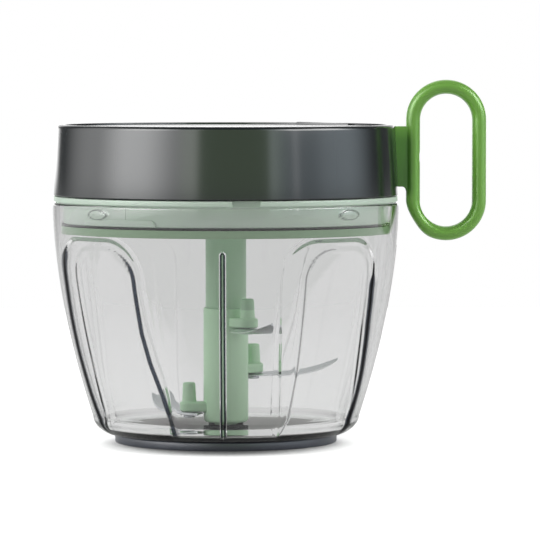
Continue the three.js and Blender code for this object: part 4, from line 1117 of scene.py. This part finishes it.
def makeLidBase():
    sizes = lidSizes
    skirt, bottom, deck, flange = sizes.skirtRadius, sizes.flangeBottom, sizes.deckTop, sizes.flangeRadius
    inner, groove = skirt - sizes.skirtWall, skirt - sizes.grooveDepth
    outline = [
        (sizes.bore, bottom), (inner, bottom), (inner, sizes.skirtBottom), (skirt, sizes.skirtBottom),
        (skirt, sizes.grooveBottom), (groove, sizes.grooveBottom), (groove, sizes.grooveTop),
        (skirt, sizes.grooveTop), (skirt, bottom), (flange, bottom), (flange, deck), (sizes.bore, deck),
    ]
    radii = [0.3, 1.2, 0.3, 0.15, 0.1, 0.2, 0.2, 0.2, 0.3, 0.35, 0.35, 0.3]
    parts = [turned(softened(outline, radii, 4), 240)]
    length = math.radians(sizes.tabSpan) * skirt
    low, high, top = sizes.grooveTop, sizes.grooveTop + sizes.tabHeight, bottom - 0.4

    def tabTop(share):
        return high - 0.9 * roundedEnds(share, length, 2.4)

    def rampTop(share):
        # the ramp draws the lid down when it is turned shut
        climb = top - (top - low - 0.3) * (1 - min(share / 0.38, 1)) ** 1.8 if share < 0.38 else top
        return max(climb, low + 0.3)

    for quarter in range(4):
        start = sizes.tabCentre + 90 * quarter - sizes.tabSpan / 2
        parts.append(skirtPlate(start, start + sizes.tabSpan, low + 0.05, tabTop, sizes.tabDepth, 0.25))
        start = sizes.rampStart + 90 * quarter
        parts.append(skirtPlate(start, start + sizes.rampSpan + 22, low + 0.05, rampTop, sizes.rampDepth, 0.12))
    # stiffening ribs under the deck, between the hub and the skirt
    strip = plate([(16, -0.6), (57, -0.6), (57, 0.6), (16, 0.6)], bottom - 2.2, bottom + 0.3, 0.25, 2)
    parts += [spun(strip, 30 * rib + 15 + (7.5 if rib % 3 == 1 else 0)) for rib in range(12)]
    parts.append(band(12.6, 14.2, bottom - 2.6, bottom + 0.3))
    base = startPiece("lidBase", gathered(*parts))
    low, high, left, right = bottom - 1, deck + 1, sizes.notchLeft, sizes.notchRight
    slant = sizes.notchSlant
    notch = [
        [(left + slant, y, low), (right - slant, y, low), (right, y, high), (left, y, high)]
        for y in (-flange - 1, -flange + sizes.notchDepth)
    ]
    carved(base, lofted(notch))
    for corner in range(4):
        carved(base, spun(shifted(rod(1.7, low, high, 32), 50), 45 + 90 * corner))
    dressed(base, "paleMint", "lid", ["lid_base"], 32)
    outline = [(60.5, 81.9), (61.2, 81.9), (61.5, 82.45), (62.0, 82.55), (62.0, 82.85), (60.5, 82.9)]
    seal = turned(softened(outline, [0.2, 0.2, 0.1, 0.15, 0.15, 0.2]), 240)
    finished("lidSeal", seal, "darkRubber", "seal", ["lid_seal"])
    # painted shade: a darker mint lip below the seal, standing in for the shaded band seen there
    outline = [(61.4, 79.5), (62.0, 79.3), (62.2, 79.5), (62.2, 82.45), (61.4, 81.8)]
    lip = turned(softened(outline, [0.1, 0.2, 0.1, 0.2, 0.1], 3), 240)
    finished("sealLip", lip, "sealLip", "lid", slot="pale_mint")
    outline = [(7.8, 90.9), (9.3, 90.9), (9.3, 93.3), (11.5, 93.3), (11.5, 94.1), (7.8, 94.1)]
    finished("hubBearing", turned(softened(outline, 0.2, 3), 96), "whiteAcetal", "lid", ["hub_bearing"])


makeLidBase()

coverSizes = Values(
    radius=65.0, topRadius=63.7, bottom=93.3, top=119.1, rimTop=119.85, rimWidth=3.0, wall=2.2,
    topThickness=2.2, edgeRound=2.2, riseAngle=49.5, riseLength=26.0, riseReach=61.0, riseWidth=3.5,
    riseTop=120.15, cordHeight=107.6, eyeletRadius=3.5,
)


def alongCordLine(shape):
    return shifted(spun(shape, 90, "y"), z=coverSizes.cordHeight)


def makeCover():
    sizes = coverSizes
    wall, inner = sizes.wall, sizes.top - sizes.topThickness
    rim = sizes.topRadius - sizes.rimWidth
    outline = [
        (0, sizes.top), (rim, sizes.top), (rim, sizes.rimTop), (sizes.topRadius, sizes.rimTop),
        (sizes.radius, sizes.bottom), (sizes.radius - wall, sizes.bottom),
        (sizes.topRadius - wall, inner), (6, inner), (6, 114.2), (2.8, 114.2), (2.8, 116.9), (0, 116.9),
    ]
    radii = [0, 0.1, 0.35, sizes.edgeRound, 0.35, 0.3, 1.0, 0.5, 0.3, 0.3, 0.2, 0]
    cover = startPiece("lidCover", turned(softened(outline, radii, 7), 280))
    carved(cover, alongCordLine(rod(sizes.eyeletRadius, 56, 70, 48)))
    for corner in range(4):
        post = band(1.7, 3.6, sizes.bottom, inner + 0.4, 0.2, 48)
        web = plate([(53, -0.7), (62.2, -0.7), (62.2, 0.7), (53, 0.7)], 98.0, inner + 0.4, 0.2, 2)
        added(cover, spun(gathered(shifted(post, 50), web), 45 + 90 * corner))
    # the raised thumb wedge along the rim
    half, low = sizes.riseLength / 2, sizes.top - 0.3
    side = [(-half, low), (half, low), (half, sizes.riseTop), (-half, sizes.rimTop - 0.2)]
    side = softened(side, [0, 0, 0.5, 0.1])
    inner, outer = sizes.riseReach - sizes.riseWidth, sizes.riseReach
    rounding = ((0.2, inner), (0.06, inner + 0.06), (0, inner + 0.2), (0, outer - 0.2), (0.2, outer))
    rings = [[(reach, along, high - inset) for along, high in side] for inset, reach in rounding]
    added(cover, spun(lofted(rings), sizes.riseAngle))
    dressed(cover, "charcoalGloss", "lid", ["lid_cover"], 32)


makeCover()

coverScrew = Values(radius=2.8, height=1.3, shank=1.4, bottom=89.3, tip=104.3, dome=0.3, body="lid")
spindleScrew = Values(radius=3.4, height=1.3, shank=1.2, bottom=85.6, tip=95.2, dome=0.3, body="lid")
for corner in range(4):
    where = around(50, math.radians(45 + 90 * corner))
    makeScrew(f"coverScrew_{corner + 1}", f"cover_screw_{corner + 1}", where, coverScrew)
finished("spindleRod", band(1.5, 2.5, 88.2, 116.6, 0.25, 64), "pinSteel", "lid", ["spindle"])
finished("spindleDisc", band(1.5, 4.2, 87.2, 87.9, 0.12, 64), "pinSteel", "lid", ["spindle_washer"])
makeScrew("spindleScrew", "spindle_screw", [0, 0], spindleScrew)
print("lid ready")

# The drive inside the lid


def hexagon(radius):
    return [around(radius, a) for a in np.arange(6) * fullTurn / 6]


def makeDrive():
    outline = [(2.8, 88.2), (10, 88.2), (10, 90.6), (7.5, 90.6), (7.5, 94.7), (2.8, 94.7)]
    parts = [turned(softened(outline, [0.2, 0.4, 0.4, 0.3, 0.4, 0.2], 4), 96)]
    parts += [spun(claw(84.7, 88.6), angle) for angle in (60, 180, 300)]
    parts.append(plate(softened(hexagon(5.2), 0.4, 3), 94.4, 102.6, 0.3, 3))
    hub = startPiece("driveHub", gathered(*parts))
    carved(hub, rod(2.8, 94, 104, 64))
    dressed(hub, "darkAcetal", "drive", ["drive_hub"])


makeDrive()


def rampTeeth(base, tip, lean, inner=8.0, outer=13.0):
    parts = []
    for tooth in range(6):
        upright, foot = math.radians(60 * tooth), math.radians(60 * tooth + lean)
        rings = []
        for radius in (inner, outer):
            rings.append([(*around(radius, a), z) for a, z in ((upright, base), (upright, tip), (foot, base))])
        parts.append(lofted(rings))
    return gathered(*parts)


def makeClutch():
    ringShape = turned(softened([(4.4, 99.2), (13, 99.2), (13, 101.4), (4.4, 101.4)], 0.3, 3), 96)
    clutch = startPiece("clutchRing", gathered(ringShape, rampTeeth(101.1, 102.6, 24)))
    carved(clutch, plate(hexagon(5.5), 98, 104, 0.01, 1))
    dressed(clutch, "whiteAcetal", "clutch", ["clutch_ring"])


makeClutch()


def tube(path, radius, sides=16):
    path = np.asarray(path, float)
    along = np.gradient(path, axis=0)
    along /= np.linalg.norm(along, axis=1)[:, None]
    across = np.cross([0, 0, 1.0], along)
    across /= np.linalg.norm(across, axis=1)[:, None]
    over = np.cross(along, across)
    turn = np.arange(sides) * fullTurn / sides
    rings = path[:, None] + radius * (
        across[:, None] * np.cos(turn)[None, :, None] + over[:, None] * np.sin(turn)[None, :, None]
    )
    return lofted(rings)


def makeSprings():
    turns, wire, radius = 2.5, 0.3, 6.6
    steps = np.linspace(0, 1, 181)
    rise = np.interp(steps, [0, 0.12, 0.88, 1], [0, 0.05, 0.95, 1])  # flat at both ends
    turn = fullTurn * turns * steps
    path = np.column_stack([radius * np.cos(turn), radius * np.sin(turn), 95.31 + 3.28 * rise])
    coil = startPiece("clutchSpring", tube(path, wire, 12))
    dressed(coil, "springSteel", None, ["clutch_spring"], 50)
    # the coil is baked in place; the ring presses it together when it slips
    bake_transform(coil)
    inner, outer, low, high, half, edge = 3.1, 19.4, 105.0, 110.8, 0.25, 0.1
    corners = [(-half, low + edge), (edge - half, low), (half - edge, low), (half, low + edge)]
    corners += [(half, high - edge), (half - edge, high), (edge - half, high), (-half, high - edge)]
    rings = []
    for share in np.linspace(0, 1, 361):
        turn = fullTurn * 5 * share
        radius = inner + (outer - inner) * share
        rings.append([(*around(radius + r, turn), z) for r, z in corners])
    finished("returnSpring", lofted(rings), "springSteel", "lid", ["return_spring"], 50)


makeSprings()


def makeReel():
    outline = [(2.8, 102.9), (28, 102.9), (28, 104.4), (22, 104.4), (22, 112.4), (20, 112.4)]
    outline += [(20, 104.4), (2.8, 104.4)]
    body = turned(softened(outline, [0.2, 0.5, 0.3, 0.5, 0.2, 0.2, 0.3, 0.2], 4), 160)
    teeth = spun(rampTeeth(103.2, 101.7, -24), -4.3)
    finished("cordReel", gathered(body, teeth), "darkAcetal", "reel", ["cord_reel"])
    outline = [(2.8, 112.7), (17.5, 112.7), (17.5, 111.2), (19.7, 111.2), (19.7, 112.7), (28, 112.7)]
    outline += [(28, 113.9), (2.8, 113.9)]
    cap = turned(softened(outline, [0.2, 0.2, 0.2, 0.2, 0.2, 0.4, 0.4, 0.2], 4), 160)
    finished("reelCap", cap, "whiteAcetal", "reel", ["reel_cap"])


makeReel()

eyeletOutline = [(1.6, 59.88), (4.6, 59.88), (4.6, 61.48), (3.2, 61.48), (3.2, 63.98), (1.6, 63.98)]
eyelet = turned(softened(eyeletOutline, [0.6, 0.3, 0.3, 0.15, 0.25, 0.5]), 64)
finished("cordEyelet", alongCordLine(eyelet), "whiteAcetal", "lid", ["cord_eyelet"])

# The cord: turns on the drum and the lead to the eyelet stay with the lid; the tail is a straight piece out to
# the handle

cordSizes = Values(
    radius=1.0, circle=23.3, turns=2.25, spacing=2.5, middle=108.55, leadEnd=57.9, split=61.0, end=68.5,
    height=107.6,
)


def cordPiece(name, path):
    path = np.asarray(path, float)
    sides = 16
    piece = placed(name, rawMesh(name, tube(path, cordSizes.radius, sides)))
    lengths = np.concatenate([[0], np.cumsum(np.linalg.norm(np.diff(path, axis=0), axis=1))])
    mark(piece, "alongCord", np.repeat(lengths, sides))
    mark(piece, "aboutCord", np.tile(np.arange(sides) * fullTurn / sides, len(path)))
    return piece


def makeCord():
    sizes = cordSizes
    leave = -math.acos(sizes.circle / sizes.leadEnd)
    top = sizes.middle + sizes.spacing * sizes.turns / 2
    left = np.linspace(sizes.turns, 0, 163)
    angles = leave - fullTurn * left
    winding = np.column_stack([
        sizes.circle * np.cos(angles), sizes.circle * np.sin(angles), top - sizes.spacing * left
    ])
    guide = np.array([sizes.leadEnd, 0, sizes.height])
    share = np.linspace(0, 1, 25)[1:, None]
    lead = winding[-1] * (1 - share) + guide * share
    bend = np.array([[sizes.leadEnd + 1.2, 0, sizes.height], [sizes.split, 0, sizes.height]])
    wound = cordPiece("cordOnReel", np.vstack([winding, lead, bend]))
    dressed(wound, "cordFibre", "lid", ["pull_cord"], 60)
    tailX = np.linspace(sizes.split, sizes.end, 13)
    tail = cordPiece("cordTail", np.column_stack([tailX, tailX * 0, tailX * 0 + sizes.height]))
    dressed(tail, "cordFibre", None, ["pull_cord"], 60)
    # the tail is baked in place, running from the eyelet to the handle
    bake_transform(tail)


makeCord()
print("drive and cord ready")

# The pull handle

handleSizes = Values(
    left=68.1, width=30.3, length=60.7, bar=5.3, barPower=2.5, thickness=8.4, centreZ=106.4,
    neckThickness=5.6, neckBottom=96.4, neckTop=119.2, neckFillet=1.6,
    footCut=0.8,  # how much the lower corner by the lid is flattened
    footCutAngle=211.0, footCutSpread=36.0,
)


def makeHandle():
    sizes = handleSizes
    radius = sizes.width / 2
    straight = (sizes.length - sizes.width) / 2
    centreX = sizes.left + radius
    bar, half = sizes.bar, sizes.thickness / 2
    path = []
    for first, rise in ((0, straight), (180, -straight)):
        path += [(angle, rise) for angle in np.linspace(first, first + 180, 73)]
        path += [(first + 180, rise * (1 - 2 * share)) for share in np.linspace(0, 1, 25)[1:-1]]
    power = 2 / sizes.barPower
    section = []
    for a in np.arange(44) * fullTurn / 44:
        wide, deep = (math.copysign(abs(value) ** power, value) for value in (math.cos(a), math.sin(a)))
        section.append((bar / 2 * (1 + wide), half * deep))
    rings = []
    for angle, rise in path:
        turn = math.radians(angle)
        near = min(abs(angle - sizes.footCutAngle) / sizes.footCutSpread, 1) if rise < 0 else 1
        trim = sizes.footCut * (1 + math.cos(math.pi * near)) / 2
        ring = []
        for across, through in section:
            reach = radius - bar + across * (1 - trim / bar)
            x, z = around(reach, turn)
            ring.append((centreX + x, through, sizes.centreZ + rise + z))
        rings.append(ring)
    loop = lofted(rings, closedPath=True)
    filletX = sizes.left - sizes.neckFillet
    low, high = sizes.neckBottom, sizes.neckTop
    outline = [(62.2, low)]
    outline += [(filletX + sizes.neckFillet * math.sin(a), low - sizes.neckFillet * (1 - math.cos(a)))
                for a in np.linspace(0, quarterTurn, 9)]
    outline += [(sizes.left + 3.2, low - sizes.neckFillet), (sizes.left + 3.2, high + 1.2)]
    outline += [(sizes.left + 1.2 - 1.2 * math.sin(a), high + 1.2 * (1 - math.cos(a)))
                for a in np.linspace(quarterTurn, 0, 9)]
    outline.append((62.2, high))
    neck = spun(plate(outline, -sizes.neckThickness / 2, sizes.neckThickness / 2, 0.5, 3), 90, "x")
    handle = startPiece("pullHandle", loop)
    carved(handle, neck, "UNION")
    # the neck ends just short of the lid's wall
    lidRoom = turned([(0, 92), (65.08, 92), (65.08, 93.3), (63.8, 119.2), (63.8, 121.5), (0, 121.5)], 240)
    carved(handle, lidRoom)
    for hole, low, high in ((1.6, 60, 74), (2.7, 68.5, 75)):
        carved(handle, alongCordLine(rod(hole, low, high, 48)))
    dressed(handle, "handleGreen", "handle", ["pull_handle"], 30)
    finished("handlePlug", alongCordLine(drum(2.4, 72.1, 73.1)), "handleGreen", "handle", ["handle_plug"])
    finished("cordFerrule", alongCordLine(drum(2.0, 68.8, 71.8, 0.35)), "brass", "handle", ["cord_ferrule"])


makeHandle()
print("handle ready")
